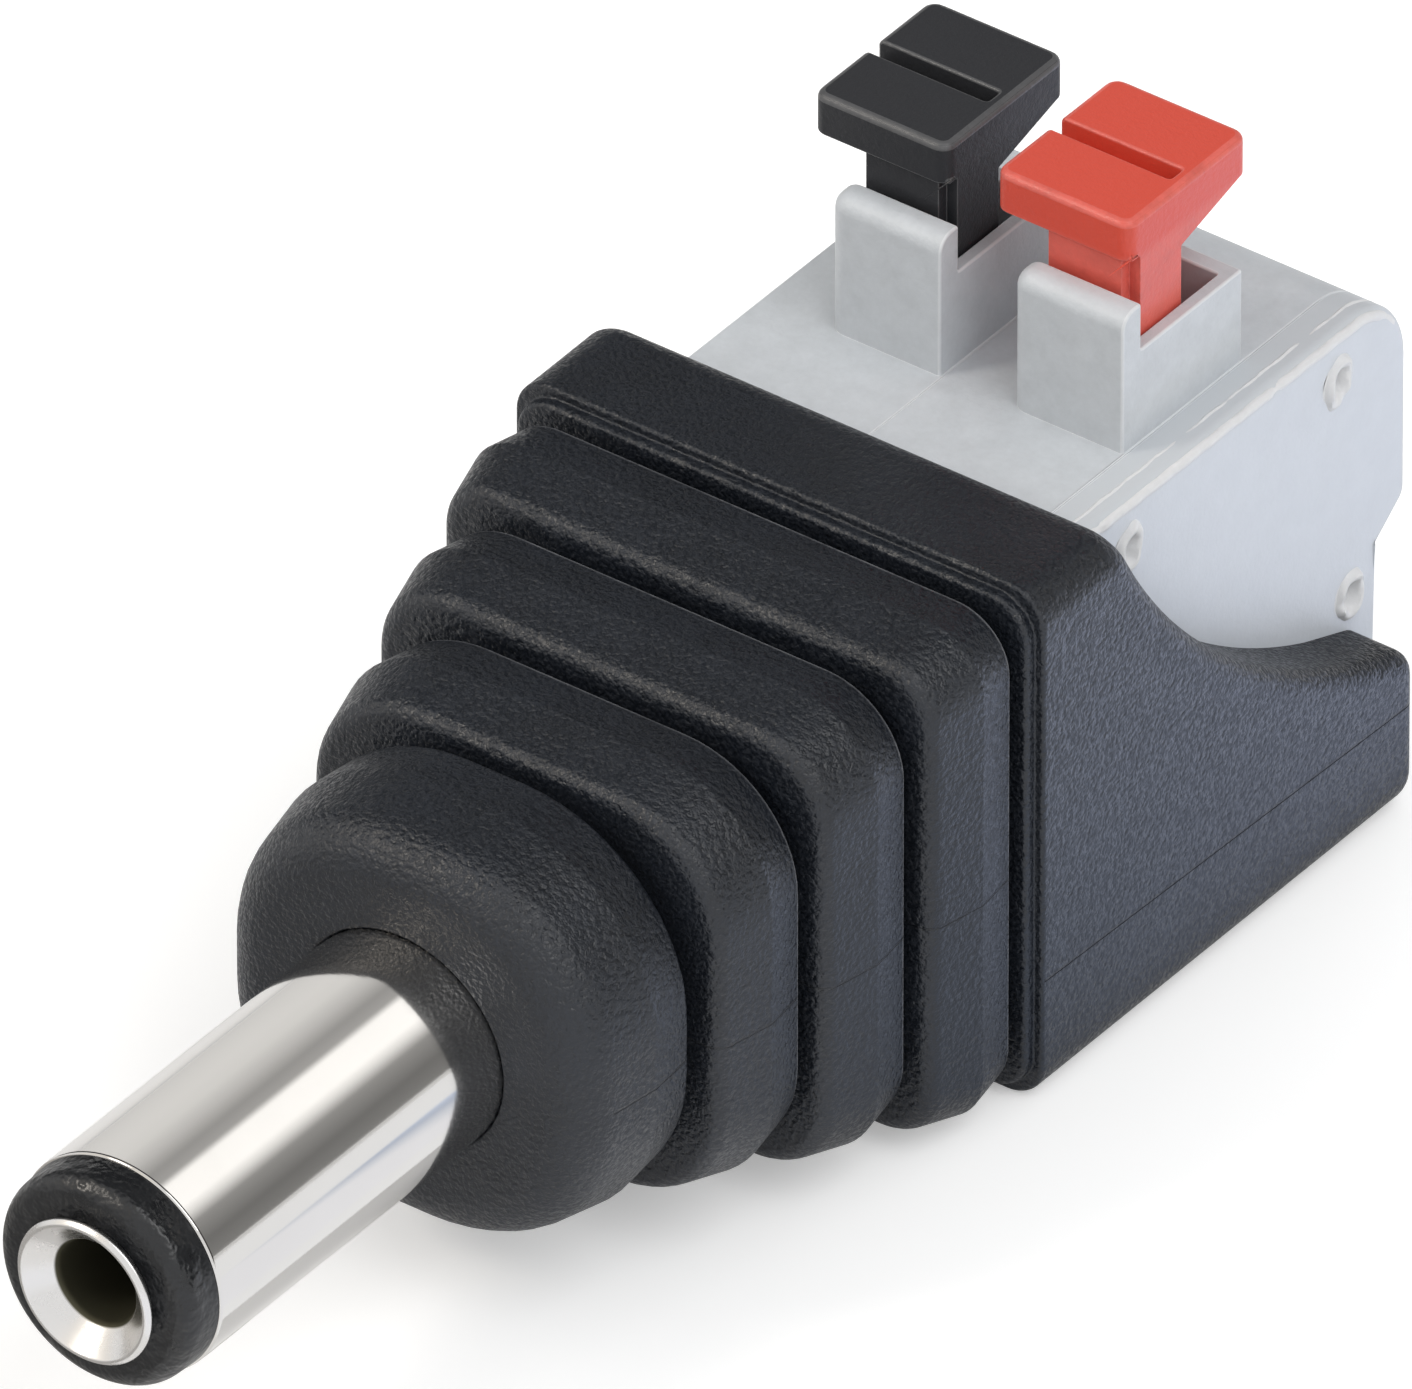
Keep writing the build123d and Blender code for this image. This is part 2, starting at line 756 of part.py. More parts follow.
export_step(housing.part, "parts/housing.step")
export_step(contact_sleeve.part, "parts/contact_sleeve.step")
export_step(tip_insulator.part, "parts/tip_insulator.step")
export_step(centre_contact.part, "parts/centre_contact.step")
export_step(rear_washer.part, "parts/rear_washer.step")
export_step(sleeve_lug, "parts/sleeve_lug.step")
export_step(centre_lug, "parts/centre_lug.step")
export_step(end_plate.part, "parts/end_plate.step")
repeated_pieces = {
    "terminal_body": bodies,
    "contact_bar": bars,
    "clamp_spring": springs,
    "solder_joint": joints,
    "push_button": buttons,
}
for name, pieces in repeated_pieces.items():
    for pole, piece in pieces.items():
        piece.label = f"{name}_{pole}"
        export_step(piece, f"parts/{piece.label}.step")
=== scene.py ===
"""Finishes a 5.5 x 2.1 mm DC plug with push-button terminals on its CAD frame.

Each moulding and turned part that needs more form than its CAD node has is a
surface worked out with numpy. The other nodes keep their CAD mesh and get a
finish of their own.
"""

import bmesh
import bpy
import numpy as np
from mathutils import Matrix, Vector


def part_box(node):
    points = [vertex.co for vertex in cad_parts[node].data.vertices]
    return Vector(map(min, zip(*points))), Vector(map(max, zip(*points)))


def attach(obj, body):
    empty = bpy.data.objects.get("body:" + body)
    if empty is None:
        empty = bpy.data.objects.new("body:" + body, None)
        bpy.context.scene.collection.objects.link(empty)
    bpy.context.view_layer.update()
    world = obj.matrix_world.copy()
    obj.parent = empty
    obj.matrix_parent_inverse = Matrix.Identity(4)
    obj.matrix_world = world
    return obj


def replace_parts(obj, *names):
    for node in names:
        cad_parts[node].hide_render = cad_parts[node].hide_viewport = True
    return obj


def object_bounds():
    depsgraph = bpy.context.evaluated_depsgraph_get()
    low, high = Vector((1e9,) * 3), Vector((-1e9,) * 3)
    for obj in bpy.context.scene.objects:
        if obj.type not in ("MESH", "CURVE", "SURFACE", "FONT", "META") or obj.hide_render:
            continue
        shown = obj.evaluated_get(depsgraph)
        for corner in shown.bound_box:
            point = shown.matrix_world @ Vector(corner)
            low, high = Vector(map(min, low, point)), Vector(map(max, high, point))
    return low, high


bl_info = {
    "name": "DC barrel plug finish",
    "version": (1, 0, 0),
    "blender": (4, 5, 0),
    "location": "View3D > Sidebar > Barrel Plug",
    "description": "Dresses the CAD frame of a DC barrel plug with push-button terminals",
    "category": "Object",
}

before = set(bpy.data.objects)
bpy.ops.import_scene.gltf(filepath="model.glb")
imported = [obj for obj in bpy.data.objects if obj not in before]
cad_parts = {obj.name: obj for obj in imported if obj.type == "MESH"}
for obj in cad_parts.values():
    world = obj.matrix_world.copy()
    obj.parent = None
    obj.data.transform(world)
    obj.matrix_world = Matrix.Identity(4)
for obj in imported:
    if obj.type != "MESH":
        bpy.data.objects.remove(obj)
cad_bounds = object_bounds()
MM = 0.001


def node_box(node):
    """Lowest and highest corner of a CAD node, in millimetres."""
    low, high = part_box(node)
    return np.array(low) / MM, np.array(high) / MM


sleeve_low, sleeve_high = node_box("contact_sleeve")
tip_low, _ = node_box("tip_insulator")
contact_low, contact_high = node_box("centre_contact")
housing_low, housing_high = node_box("housing")
plate_low, plate_high = node_box("end_plate")


# ------------------------------------------------------------------ the settings

def length_setting(label, description, default, low, high, precision=5):
    """A length; its default and its limits are given in millimetres."""
    return bpy.props.FloatProperty(
        name=label, description=description, default=default * MM, min=low * MM,
        max=high * MM, precision=precision, unit="LENGTH",
    )


def colour_setting(label, description, default):
    """A colour."""
    return bpy.props.FloatVectorProperty(
        name=label, description=description, default=default, size=3, min=0, max=1,
        subtype="COLOR",
    )


def number_setting(label, description, default, high):
    """A plain number from 0 up."""
    return bpy.props.FloatProperty(
        name=label, description=description, default=default, min=0, max=high
    )


class BarrelSettings(bpy.types.PropertyGroup):
    """Sizes and colours of the turned parts."""

    sleeve_radius: length_setting(
        "Sleeve radius", "Outside radius of the plated sleeve", 2.75, 0.5, 6
    )
    lip_round: length_setting(
        "Lip round", "Rounding of the sleeve's front edge", 0.07, 0.01, 0.2
    )
    sleeve_colour: colour_setting(
        "Sleeve plating", "Colour of the nickel on the sleeve", (0.655, 0.640, 0.620)
    )
    contact_colour: colour_setting(
        "Contact plating", "Colour of the nickel on the centre contact", (0.70, 0.69, 0.68)
    )
    insulator_colour: colour_setting(
        "Tip ring", "Colour of the ring between sleeve and contact", (0.009, 0.010, 0.012)
    )


class HousingSettings(bpy.types.PropertyGroup):
    """Form and finish of the overmoulded housing."""

    rib_round: length_setting(
        "Rib round", "Rounding of each rib's front edge", 0.42, 0.05, 0.6
    )
    rim_round: length_setting(
        "Rim round", "Rounding outside the rim round the terminal block", 0.5, 0.05, 0.8
    )
    colour: colour_setting("Housing", "Colour of the soft PVC", (0.0086, 0.0112, 0.0166))
    grain_size: length_setting(
        "Grain size", "Width of the leathery grain's wrinkles", 0.16, 0.02, 1
    )
    grain_depth: length_setting("Grain depth", "Depth of the leathery grain", 0.074, 0, 0.1, 6)


class BlockSettings(bpy.types.PropertyGroup):
    """Form and finish of the terminal block and its push buttons."""

    edge_round: length_setting(
        "Moulded edge", "Rounding of the block's edges", 0.06, 0.01, 0.2
    )
    block_colour: colour_setting(
        "Terminal bodies", "Colour of the two terminal bodies", (0.560, 0.588, 0.618)
    )
    # Bluer than the bodies: partly the plate's own tone, partly painted cool light on its side.
    plate_colour_and_side_light: colour_setting(
        "End plate", "Colour of the end plate and its pegs", (0.590, 0.622, 0.668)
    )
    # Paler than the plate: partly the flash's own tone, partly a painted highlight.
    flash_and_highlight_colour: colour_setting(
        "Moulding flash", "Colour of the torn flash on the end plate", (0.700, 0.705, 0.715)
    )
    peg_recess: length_setting(
        "Peg recess", "Depth of the pegs' ends below the plate's face", 0.25, 0, 1
    )
    button_round: length_setting(
        "Button edge", "Rounding of the button heads' edges", 0.068, 0.02, 0.07
    )
    slot_width: length_setting(
        "Button slot", "Width of the slot for a screwdriver in a button", 0.48, 0.2, 0.66
    )
    black_button: colour_setting(
        "Black button", "Colour of the negative pole's button", (0.033, 0.034, 0.038)
    )
    red_button: colour_setting(
        "Red button", "Colour of the positive pole's button", (0.655, 0.070, 0.040)
    )


class StageSettings(bpy.types.PropertyGroup):
    """Floor, lamps and camera."""

    floor_colour: colour_setting("Floor", "Colour of the floor", (0.86, 0.86, 0.86))
    sky_level: number_setting(
        "Sky level", "Strength of the even light from all round", 0.66, 2
    )
    key_power: number_setting(
        "Key lamp", "Power of the large lamp on the right, in watts", 0.95, 100
    )
    edge_power: number_setting(
        "Front lamp", "Power of the small lamp at the front, in watts", 0.42, 100
    )
    tent_level: number_setting(
        "Tent level", "Light of the dim tent in the reflections", 0.06, 2
    )
    floor_glow: number_setting("Floor glow", "The floor's own light to the camera", 0.34, 1)
    camera_azimuth: bpy.props.FloatProperty(
        name="Camera azimuth", description="Direction of the camera round the plug",
        default=np.radians(36.355), unit="ROTATION",
    )
    camera_elevation: bpy.props.FloatProperty(
        name="Camera elevation", description="Height of the camera above the horizon",
        default=np.radians(35.84), unit="ROTATION",
    )
    camera_distance: bpy.props.FloatProperty(
        name="Camera distance", description="From the camera to the plug",
        default=1.40, min=0.2, max=2, unit="LENGTH",
    )
    frame_width: length_setting(
        "Framed width", "Width of the view at the plug", 31.03, 5, 1000
    )


SETTINGS = {
    "plug_barrel": BarrelSettings,
    "plug_housing": HousingSettings,
    "plug_block": BlockSettings,
    "plug_stage": StageSettings,
}


# -------------------------------------------------------------- numpy and meshes

def rounded_profile(corners, radii, closed=True, steps=6, flank=0.03):
    """A polygon with arcs for corners, and the number of the corner each point is from.

    Each arc turns about a centre that lies one radius inside both sides, from
    its foot on the side arriving to its foot on the side leaving. A foot is
    radius times tan(half the turn) from the corner. One more point on each
    side, close to the arc, keeps the side flat in shading.
    """
    corners = np.asarray(corners, float)
    radii = np.broadcast_to(np.asarray(radii, float), len(corners))
    ahead = np.roll(corners, -1, 0) - corners
    span = np.linalg.norm(ahead, axis=1)
    ahead = ahead / span[:, None]
    behind = np.roll(ahead, 1, 0)
    room = np.minimum(span, np.roll(span, 1))
    turn = np.arctan2(
        behind[:, 0] * ahead[:, 1] - behind[:, 1] * ahead[:, 0], (behind * ahead).sum(1)
    )
    slope = np.maximum(np.abs(np.tan(turn / 2)), 1e-6)
    foot = np.minimum(radii * slope, 0.46 * room)
    radius = (foot / slope)[:, None]
    inward = np.stack([-behind[:, 1], behind[:, 0]], 1) * np.sign(turn)[:, None]
    start = corners - behind * foot[:, None]
    centre = start + inward * radius
    swing = turn[:, None] * np.linspace(0, 1, steps + 1)
    spoke = (-inward * radius)[:, None, :]
    arc = centre[:, None] + np.stack(
        [
            spoke[..., 0] * np.cos(swing) - spoke[..., 1] * np.sin(swing),
            spoke[..., 0] * np.sin(swing) + spoke[..., 1] * np.cos(swing),
        ],
        -1,
    )
    gap = np.minimum(flank, 0.04 * room)[:, None]
    before = arc[:, :1] - (behind * gap)[:, None]
    after = arc[:, -1:] + (ahead * gap)[:, None]
    points = np.concatenate([before, arc, after], 1)
    number = np.repeat(np.arange(len(corners)), steps + 3)
    if closed:
        return points.reshape(-1, 2), number
    inner = points[1:-1].reshape(-1, 2)
    points = np.concatenate([corners[:1], inner, corners[-1:]])
    number = np.concatenate([[0], number[steps + 3 : -steps - 3], [len(corners) - 1]])
    return points, number


SHARP_TURN = np.radians(38)


def grid_mesh(name, grid, material, wrap_rows=True, wrap_columns=True):
    """A piece over a grid of points in millimetres. Row i, column j joins its
    neighbours in the next row and the next column, and round again where a
    direction wraps. Points that fall together, such as a pole's, become one,
    the faces turn outwards, and the shading is smooth but for sharp edges."""
    rows, columns = grid.shape[:2]
    i = np.arange(rows if wrap_rows else rows - 1)[:, None]
    j = np.arange(columns if wrap_columns else columns - 1)[None, :]
    i2, j2 = (i + 1) % rows, (j + 1) % columns
    quads = np.stack(
        [i * columns + j, i * columns + j2, i2 * columns + j2, i2 * columns + j], -1
    ).reshape(-1, 4)
    mesh = bpy.data.meshes.new(name)
    mesh.from_pydata(grid.reshape(-1, 3) * MM, [], quads.tolist())
    work = bmesh.new()
    work.from_mesh(mesh)
    bmesh.ops.remove_doubles(work, verts=work.verts, dist=0.0002 * MM)
    bmesh.ops.dissolve_degenerate(work, edges=work.edges, dist=0.0001 * MM)
    bmesh.ops.recalc_face_normals(work, faces=work.faces)
    work.to_mesh(mesh)
    work.free()
    mesh.shade_smooth()
    mesh.set_sharp_from_angle(angle=SHARP_TURN)
    mesh.materials.append(material)
    return linked(name, mesh)


def linked(name, data):
    """An object for a mesh, lamp or camera, in the scene."""
    made = bpy.data.objects.new(name, data)
    bpy.context.scene.collection.objects.link(made)
    return made


def lathe(name, corners, radii, material, closed=True, steps=6):
    """A turned part: its profile, given as places (y, radius), is carried round
    the barrel's axis. At the angle t a profile point is at radius times sin t
    to the right, y along the axis and radius times cos t up."""
    profile, _ = rounded_profile(corners, radii, closed, steps)
    angle = round_angles(160)
    y, radius = profile[:, 0], profile[:, 1]
    grid = np.stack(
        [radius * np.sin(angle), y + 0 * angle, radius * np.cos(angle)], -1
    )
    return grid_mesh(name, grid, material, wrap_columns=closed)


def round_angles(count):
    """Evenly spaced angles of a full turn, as a column."""
    return np.linspace(0, 2 * np.pi, count, endpoint=False)[:, None]


def merged(mesh):
    """Joins a mesh's loose triangles and clears the edges within its flat faces."""
    work = bmesh.new()
    work.from_mesh(mesh)
    bmesh.ops.remove_doubles(work, verts=work.verts, dist=0.0005 * MM)
    bmesh.ops.dissolve_limit(
        work, angle_limit=np.radians(0.5), verts=work.verts, edges=work.edges
    )
    work.to_mesh(mesh)
    work.free()


def points_of(mesh):
    """A mesh's points, in millimetres."""
    points = np.empty(len(mesh.vertices) * 3, np.float32)
    mesh.vertices.foreach_get("co", points)
    return points.reshape(-1, 3) / MM


def turned_edges(mesh, angle):
    """Which edges turn by more than an angle: the unit normals of an edge's two
    faces have a sum that is 2 cos(half the turn) long."""
    edge = np.empty(len(mesh.loops), np.int32)
    mesh.loops.foreach_get("edge_index", edge)
    normal = np.empty(len(mesh.polygons) * 3, np.float32)
    mesh.polygons.foreach_get("normal", normal)
    sides = np.empty(len(mesh.polygons), np.int32)
    mesh.polygons.foreach_get("loop_total", sides)
    total = np.zeros((len(mesh.edges), 3))
    np.add.at(total, edge, np.repeat(normal.reshape(-1, 3), sides, 0))
    return np.linalg.norm(total, axis=1) < 2 * np.cos(angle / 2)


def dressed_copy(name, cad_name, materials, width, share, steps=2, change=None):
    """A merged copy of a CAD node with its sharp edges rounded by a bevel.
    materials are the faces' and the bevel's own, share(middles) gives each edge
    its share of the bevel's width, and change(points) may move the points first."""
    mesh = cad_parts[cad_name].data.copy()
    mesh.materials.clear()
    merged(mesh)
    if change is not None:
        points = change(points_of(mesh)) * MM
        mesh.vertices.foreach_set("co", points.astype(np.float32).ravel())
        merged(mesh)
    mesh.shade_smooth()
    sharp = turned_edges(mesh, np.radians(32))
    if "sharp_edge" not in mesh.attributes:
        mesh.attributes.new("sharp_edge", "BOOLEAN", "EDGE")
    mesh.attributes["sharp_edge"].data.foreach_set("value", sharp)
    ends = np.empty(len(mesh.edges) * 2, np.int32)
    mesh.edges.foreach_get("vertices", ends)
    middles = points_of(mesh)[ends.reshape(-1, 2)].mean(1)
    weights = (sharp * share(middles)).astype(np.float32)
    bevelled = mesh.attributes.new("bevel_weight_edge", "FLOAT", "EDGE")
    bevelled.data.foreach_set("value", weights)
    for material in materials:
        mesh.materials.append(material)
    piece = linked(name, mesh)
    bevel = piece.modifiers.new("moulded_edge", "BEVEL")
    bevel.width = width
    bevel.segments = steps
    bevel.limit_method = "WEIGHT"
    bevel.use_clamp_overlap = False
    bevel.harden_normals = True
    bevel.material = 1
    bevel.miter_outer = "MITER_ARC"
    return piece


# -------------------------------------------------------------- shader node groups

def new_group(name, inputs, outputs):
    """A shader node group of numbers, with inputs (name, default) and outputs."""
    group = bpy.data.node_groups.new(name, "ShaderNodeTree")
    for label, default in inputs:
        socket = group.interface.new_socket(
            label, in_out="INPUT", socket_type="NodeSocketFloat"
        )
        socket.default_value = default
    for label in outputs:
        group.interface.new_socket(label, in_out="OUTPUT", socket_type="NodeSocketFloat")
    return group, group.nodes.new("NodeGroupInput"), group.nodes.new("NodeGroupOutput")


def node(tree, kind, links=(), **values):
    """A shader node with its properties and sockets set. links holds pairs of
    an input's name or number and the output that feeds it."""
    made = tree.nodes.new(kind)
    for key, value in values.items():
        setattr(made, key, value)
    for socket, source in links:
        if isinstance(source, bpy.types.NodeSocket):
            tree.links.new(source, made.inputs[socket])
        else:
            made.inputs[socket].default_value = source
    return made


def ramp(tree, factor, stops):
    """A colour ramp's output; stops are (place, grey) or (place, colour)."""
    made = node(tree, "ShaderNodeValToRGB", [("Fac", factor)])
    elements = made.color_ramp.elements
    elements.remove(elements[1])
    elements[0].position = stops[0][0]
    for place, _ in stops[1:]:
        elements.new(place)
    for element, (_, value) in zip(elements, stops):
        element.color = (*((value,) * 3 if np.isscalar(value) else value), 1)
    return made.outputs["Color"]


def math(tree, operation, a, b=0.0, clamp=False, c=0.0):
    """One step of arithmetic; its output socket."""
    return node(
        tree, "ShaderNodeMath", [(0, a), (1, b), (2, c)], operation=operation, use_clamp=clamp
    ).outputs[0]


def apart(tree, a, b):
    """How far two values are apart."""
    return math(tree, "ABSOLUTE", math(tree, "SUBTRACT", a, b))


def remap(tree, value, start, end, low=0.0, high=1.0):
    """Carries a value from start to end over to low to high, and holds it there."""
    return node(
        tree, "ShaderNodeMapRange",
        [("Value", value), ("From Min", start), ("From Max", end), ("To Min", low),
         ("To Max", high)],
    ).outputs["Result"]


def mixed(tree, factor, first, second):
    """Two colours mixed; each is an output socket or a constant."""
    return node(
        tree, "ShaderNodeMix", [("Factor", factor), (6, first), (7, second)], data_type="RGBA"
    ).outputs[2]


def object_place(tree):
    """The shaded place in the object's own frame."""
    return node(tree, "ShaderNodeTexCoord").outputs["Object"]


def object_axes(tree):
    """The shaded place's X, Y and Z in the object's own frame."""
    return node(tree, "ShaderNodeSeparateXYZ", [(0, object_place(tree))]).outputs


def noise(tree, place, scale, detail, roughness=0.5):
    """A noise texture's outputs."""
    return node(
        tree, "ShaderNodeTexNoise",
        [("Vector", place), ("Scale", scale), ("Detail", detail), ("Roughness", roughness)],
    ).outputs


def leather_grain():
    """Leathery tool grain: soft pebbles of the given size, a little bent, with a
    finer grain on them. Puts out a height of 0 to 1 and a mask of its crests."""
    group, given, result = new_group(
        "leather_grain", [("Wrinkles per metre", 6000.0), ("Fineness", 0.4)],
        ["Height", "Crests"],
    )
    place = object_place(group)
    density = given.outputs["Wrinkles per metre"]
    warp = noise(group, place, density, 1.0)["Color"]
    bent = node(
        group, "ShaderNodeVectorMath", [(0, warp), (3, 0.06 * MM)], operation="SCALE"
    )
    moved = node(
        group, "ShaderNodeVectorMath", [(0, place), (1, bent.outputs[0])], operation="ADD"
    )
    wrinkles = node(
        group, "ShaderNodeTexVoronoi",
        [("Vector", moved.outputs[0]), ("Scale", density), ("Randomness", 1.0),
         ("Smoothness", 0.6)],
        feature="SMOOTH_F1",
    ).outputs["Distance"]
    fine = noise(group, place, math(group, "MULTIPLY", density, 1.6), 1.5, 0.6)["Fac"]
    height = node(
        group, "ShaderNodeMix",
        [("Factor", given.outputs["Fineness"]), ("A", wrinkles), ("B", fine)],
    ).outputs["Result"]
    group.links.new(height, result.inputs["Height"])
    group.links.new(remap(group, fine, 0.35, 0.65), result.inputs["Crests"])
    return group


def moulded_grain():
    """Fine spark-eroded grain of hard plastics. Puts out a height and a soft
    cloud of 0 to 1 for the colour's drift."""
    group, given, result = new_group(
        "moulded_grain", [("Grains per metre", 14000.0), ("Clouds per metre", 900.0)],
        ["Height", "Cloud"],
    )
    place = object_place(group)
    grains = noise(group, place, given.outputs[0], 3.0, 0.65)["Fac"]
    clouds = noise(group, place, given.outputs[1], 4.0, 0.6)["Fac"]
    group.links.new(grains, result.inputs["Height"])
    group.links.new(clouds, result.inputs["Cloud"])
    return group


def tool_marks():
    """Fine turning lines round the barrel's axis and faint handling marks. Puts
    out a height, and a mask of smears for the roughness."""
    group, given, result = new_group(
        "tool_marks", [("Lines per metre", 9000.0), ("Smears per metre", 350.0)],
        ["Height", "Smears"],
    )
    line_place = node(
        group, "ShaderNodeCombineXYZ", [("X", 0.0), ("Y", object_axes(group)["Y"]), ("Z", 0.0)]
    ).outputs[0]
    lines = noise(group, line_place, given.outputs[0], 2.0)["Fac"]
    smears = noise(group, object_place(group), given.outputs[1], 5.0, 0.7)["Fac"]
    group.links.new(lines, result.inputs["Height"])
    group.links.new(smears, result.inputs["Smears"])
    return group


GROUPS = {}


def group_node(tree, name, **values):
    """A node that places a shared group, with its inputs set."""
    made = tree.nodes.new("ShaderNodeGroup")
    made.node_tree = GROUPS[name]
    for label, value in values.items():
        made.inputs[label.replace("_", " ")].default_value = value
    return made


def emptied(owner):
    """The node tree of a new material or world, with nothing in it."""
    owner.use_nodes = True
    owner.node_tree.nodes.clear()
    return owner.node_tree


def put_out(tree, shader, kind="ShaderNodeOutputMaterial"):
    """Feeds a shader to the tree's output."""
    tree.links.new(shader.outputs[0], node(tree, kind).inputs["Surface"])


def new_material(name, **constants):
    """A material with one Principled shader, its constants set on its sockets."""
    material = bpy.data.materials.new(name)
    tree = emptied(material)
    shader = node(tree, "ShaderNodeBsdfPrincipled")
    for label, value in constants.items():
        shader.inputs[label.replace("_", " ")].default_value = value
    put_out(tree, shader)
    return material, tree, shader


def add_bump(tree, shader, height, depth):
    """Feeds a height of 0 to 1 to the shader's normal, as deep as depth in metres."""
    bump = node(
        tree, "ShaderNodeBump", [("Strength", 1.0), ("Distance", depth), ("Height", height)]
    )
    tree.links.new(bump.outputs["Normal"], shader.inputs["Normal"])


def tint(tree, shader, factor, low, high):
    """Base Color drifting between two colours with a factor of 0 to 1."""
    tree.links.new(
        mixed(tree, factor, (*low, 1), (*high, 1)), shader.inputs["Base Color"]
    )


def repaint(tree, shader, factor, colour):
    """Lays a colour over the Base Color by a factor of 0 to 1."""
    under = shader.inputs["Base Color"].links[0].from_socket
    tree.links.new(mixed(tree, factor, under, (*colour, 1)), shader.inputs["Base Color"])


def drift(tree, shader, factor, low, high):
    """Roughness drifting between two values with a factor of 0 to 1."""
    tree.links.new(remap(tree, factor, 0.3, 0.7, low, high), shader.inputs["Roughness"])


def scaled(colour, amount):
    """A colour made lighter or darker by a share."""
    return tuple(float(min(1, c * amount)) for c in colour)


def paler(colour, share):
    """A colour mixed with white by a share."""
    return tuple(float(c + (1 - c) * share) for c in colour)


def parting_line(tree, axes, height, fall, near, far, wall_x):
    """A mask of a thin line on both side walls, from near to far along Y. It
    starts at the given height and falls by the share fall along Y."""
    level = math(tree, "MULTIPLY_ADD", axes["Y"], -fall, c=height + fall * near)
    on_line = remap(tree, apart(tree, axes["Z"], level), 0.012 * MM, 0.04 * MM, 1.0, 0.0)
    on_wall = math(tree, "GREATER_THAN", math(tree, "ABSOLUTE", axes["X"]), wall_x)
    middle, half = (near + far) / 2, (far - near) / 2
    between = math(tree, "LESS_THAN", apart(tree, axes["Y"], middle), half)
    return math(tree, "MULTIPLY", on_line, math(tree, "MULTIPLY", on_wall, between))


def painted_edge_highlights(tree, along, places):
    """A mask of thin rings round the housing at the given places along Y, in millimetres, where
    its edges get a painted highlight, paler than the PVC."""
    edge_highlight = 0.0
    for place in places:
        ring = remap(tree, apart(tree, along, place * MM), 0.02 * MM, 0.07 * MM, 1.0, 0.0)
        edge_highlight = math(tree, "ADD", ring, edge_highlight)
    return edge_highlight


def soft_pvc(colour, grain_size, grain_depth, wall_x, edges):
    """Black PVC with the tool's leathery grain and its parting lines: one along
    the tub, and one along the nose and the ribs."""
    material, tree, shader = new_material("soft_pvc", Specular_IOR_Level=0.5)
    grain = group_node(tree, "leather_grain", Wrinkles_per_metre=1 / grain_size, Fineness=0.6)
    cloud = group_node(
        tree, "moulded_grain", Grains_per_metre=16000.0, Clouds_per_metre=500.0
    ).outputs["Cloud"]
    crests = grain.outputs["Crests"]
    axes = object_axes(tree)
    tub = parting_line(tree, axes, -3.55 * MM, 0.034, 14.1 * MM, 40 * MM, wall_x)
    ribs = parting_line(tree, axes, -0.4 * MM, 0.0, 1.0 * MM, 13.7 * MM, 3.5 * MM)
    line = math(tree, "ADD", tub, math(tree, "MULTIPLY", ribs, 0.35), True)
    shade = math(tree, "SUBTRACT", cloud, math(tree, "MULTIPLY", line, 0.8), True)
    speckle = math(tree, "MULTIPLY_ADD", crests, 0.5, c=-0.25)
    speckled = math(tree, "ADD", shade, speckle, True)
    tint(tree, shader, speckled, scaled(colour, 0.6), scaled(colour, 1.5))
    # Painted highlight: thin pale rings along the ribs' rear edges.
    edge_highlight = math(tree, "MULTIPLY", painted_edge_highlights(tree, axes["Y"], edges), cloud, True)
    repaint(tree, shader, edge_highlight, (0.24, 0.245, 0.26))
    drift(tree, shader, crests, 0.32, 0.52)
    height = math(tree, "SUBTRACT", grain.outputs["Height"], math(tree, "MULTIPLY", line, 1.2))
    add_bump(tree, shader, height, grain_depth)
    return material


def hard_plastic(
    name, colour, roughness, depth, spread, grains=11000.0, specular=0.5, top=None
):
    """A moulded plastic with a fine grain and a faint drift of colour. top, a height in
    millimetres and a colour, gives what lies above it that colour: painted light, for the end
    plate's bluer side under its top strip and the red button's paler stem under its head."""
    material, tree, shader = new_material(name, Specular_IOR_Level=specular)
    grain = group_node(tree, "moulded_grain", Grains_per_metre=grains, Clouds_per_metre=1400.0)
    fine = grain.outputs["Height"]
    mottle = math(tree, "MULTIPLY_ADD", fine, 0.6, c=-0.3)
    share = math(tree, "ADD", grain.outputs["Cloud"], mottle, True)
    tint(tree, shader, share, scaled(colour, 1 - spread), scaled(colour, 1 + spread))
    if top is not None:
        # Painted light: one colour above the height, a lit or shaded tone of the same plastic
        # below.
        (height, upper), blend = top, 0.15
        up = object_axes(tree)["Z"]
        above = remap(tree, up, (height - blend) * MM, (height + blend) * MM)
        repaint(tree, shader, above, upper)
    drift(tree, shader, fine, roughness - 0.05, roughness + 0.05)
    add_bump(tree, shader, fine, depth * MM)
    return material


def worn_plastic(name, colour):
    """The tip ring's plastic: dark and glossy, smeared by use."""
    material, tree, shader = new_material(name)
    wear = group_node(tree, "moulded_grain", Grains_per_metre=1300.0, Clouds_per_metre=800.0)
    tint(tree, shader, wear.outputs["Cloud"], scaled(colour, 0.4), scaled(colour, 1.4))
    drift(tree, shader, wear.outputs["Cloud"], 0.20, 0.46)
    add_bump(tree, shader, wear.outputs["Height"], 0.14 * MM)
    return material


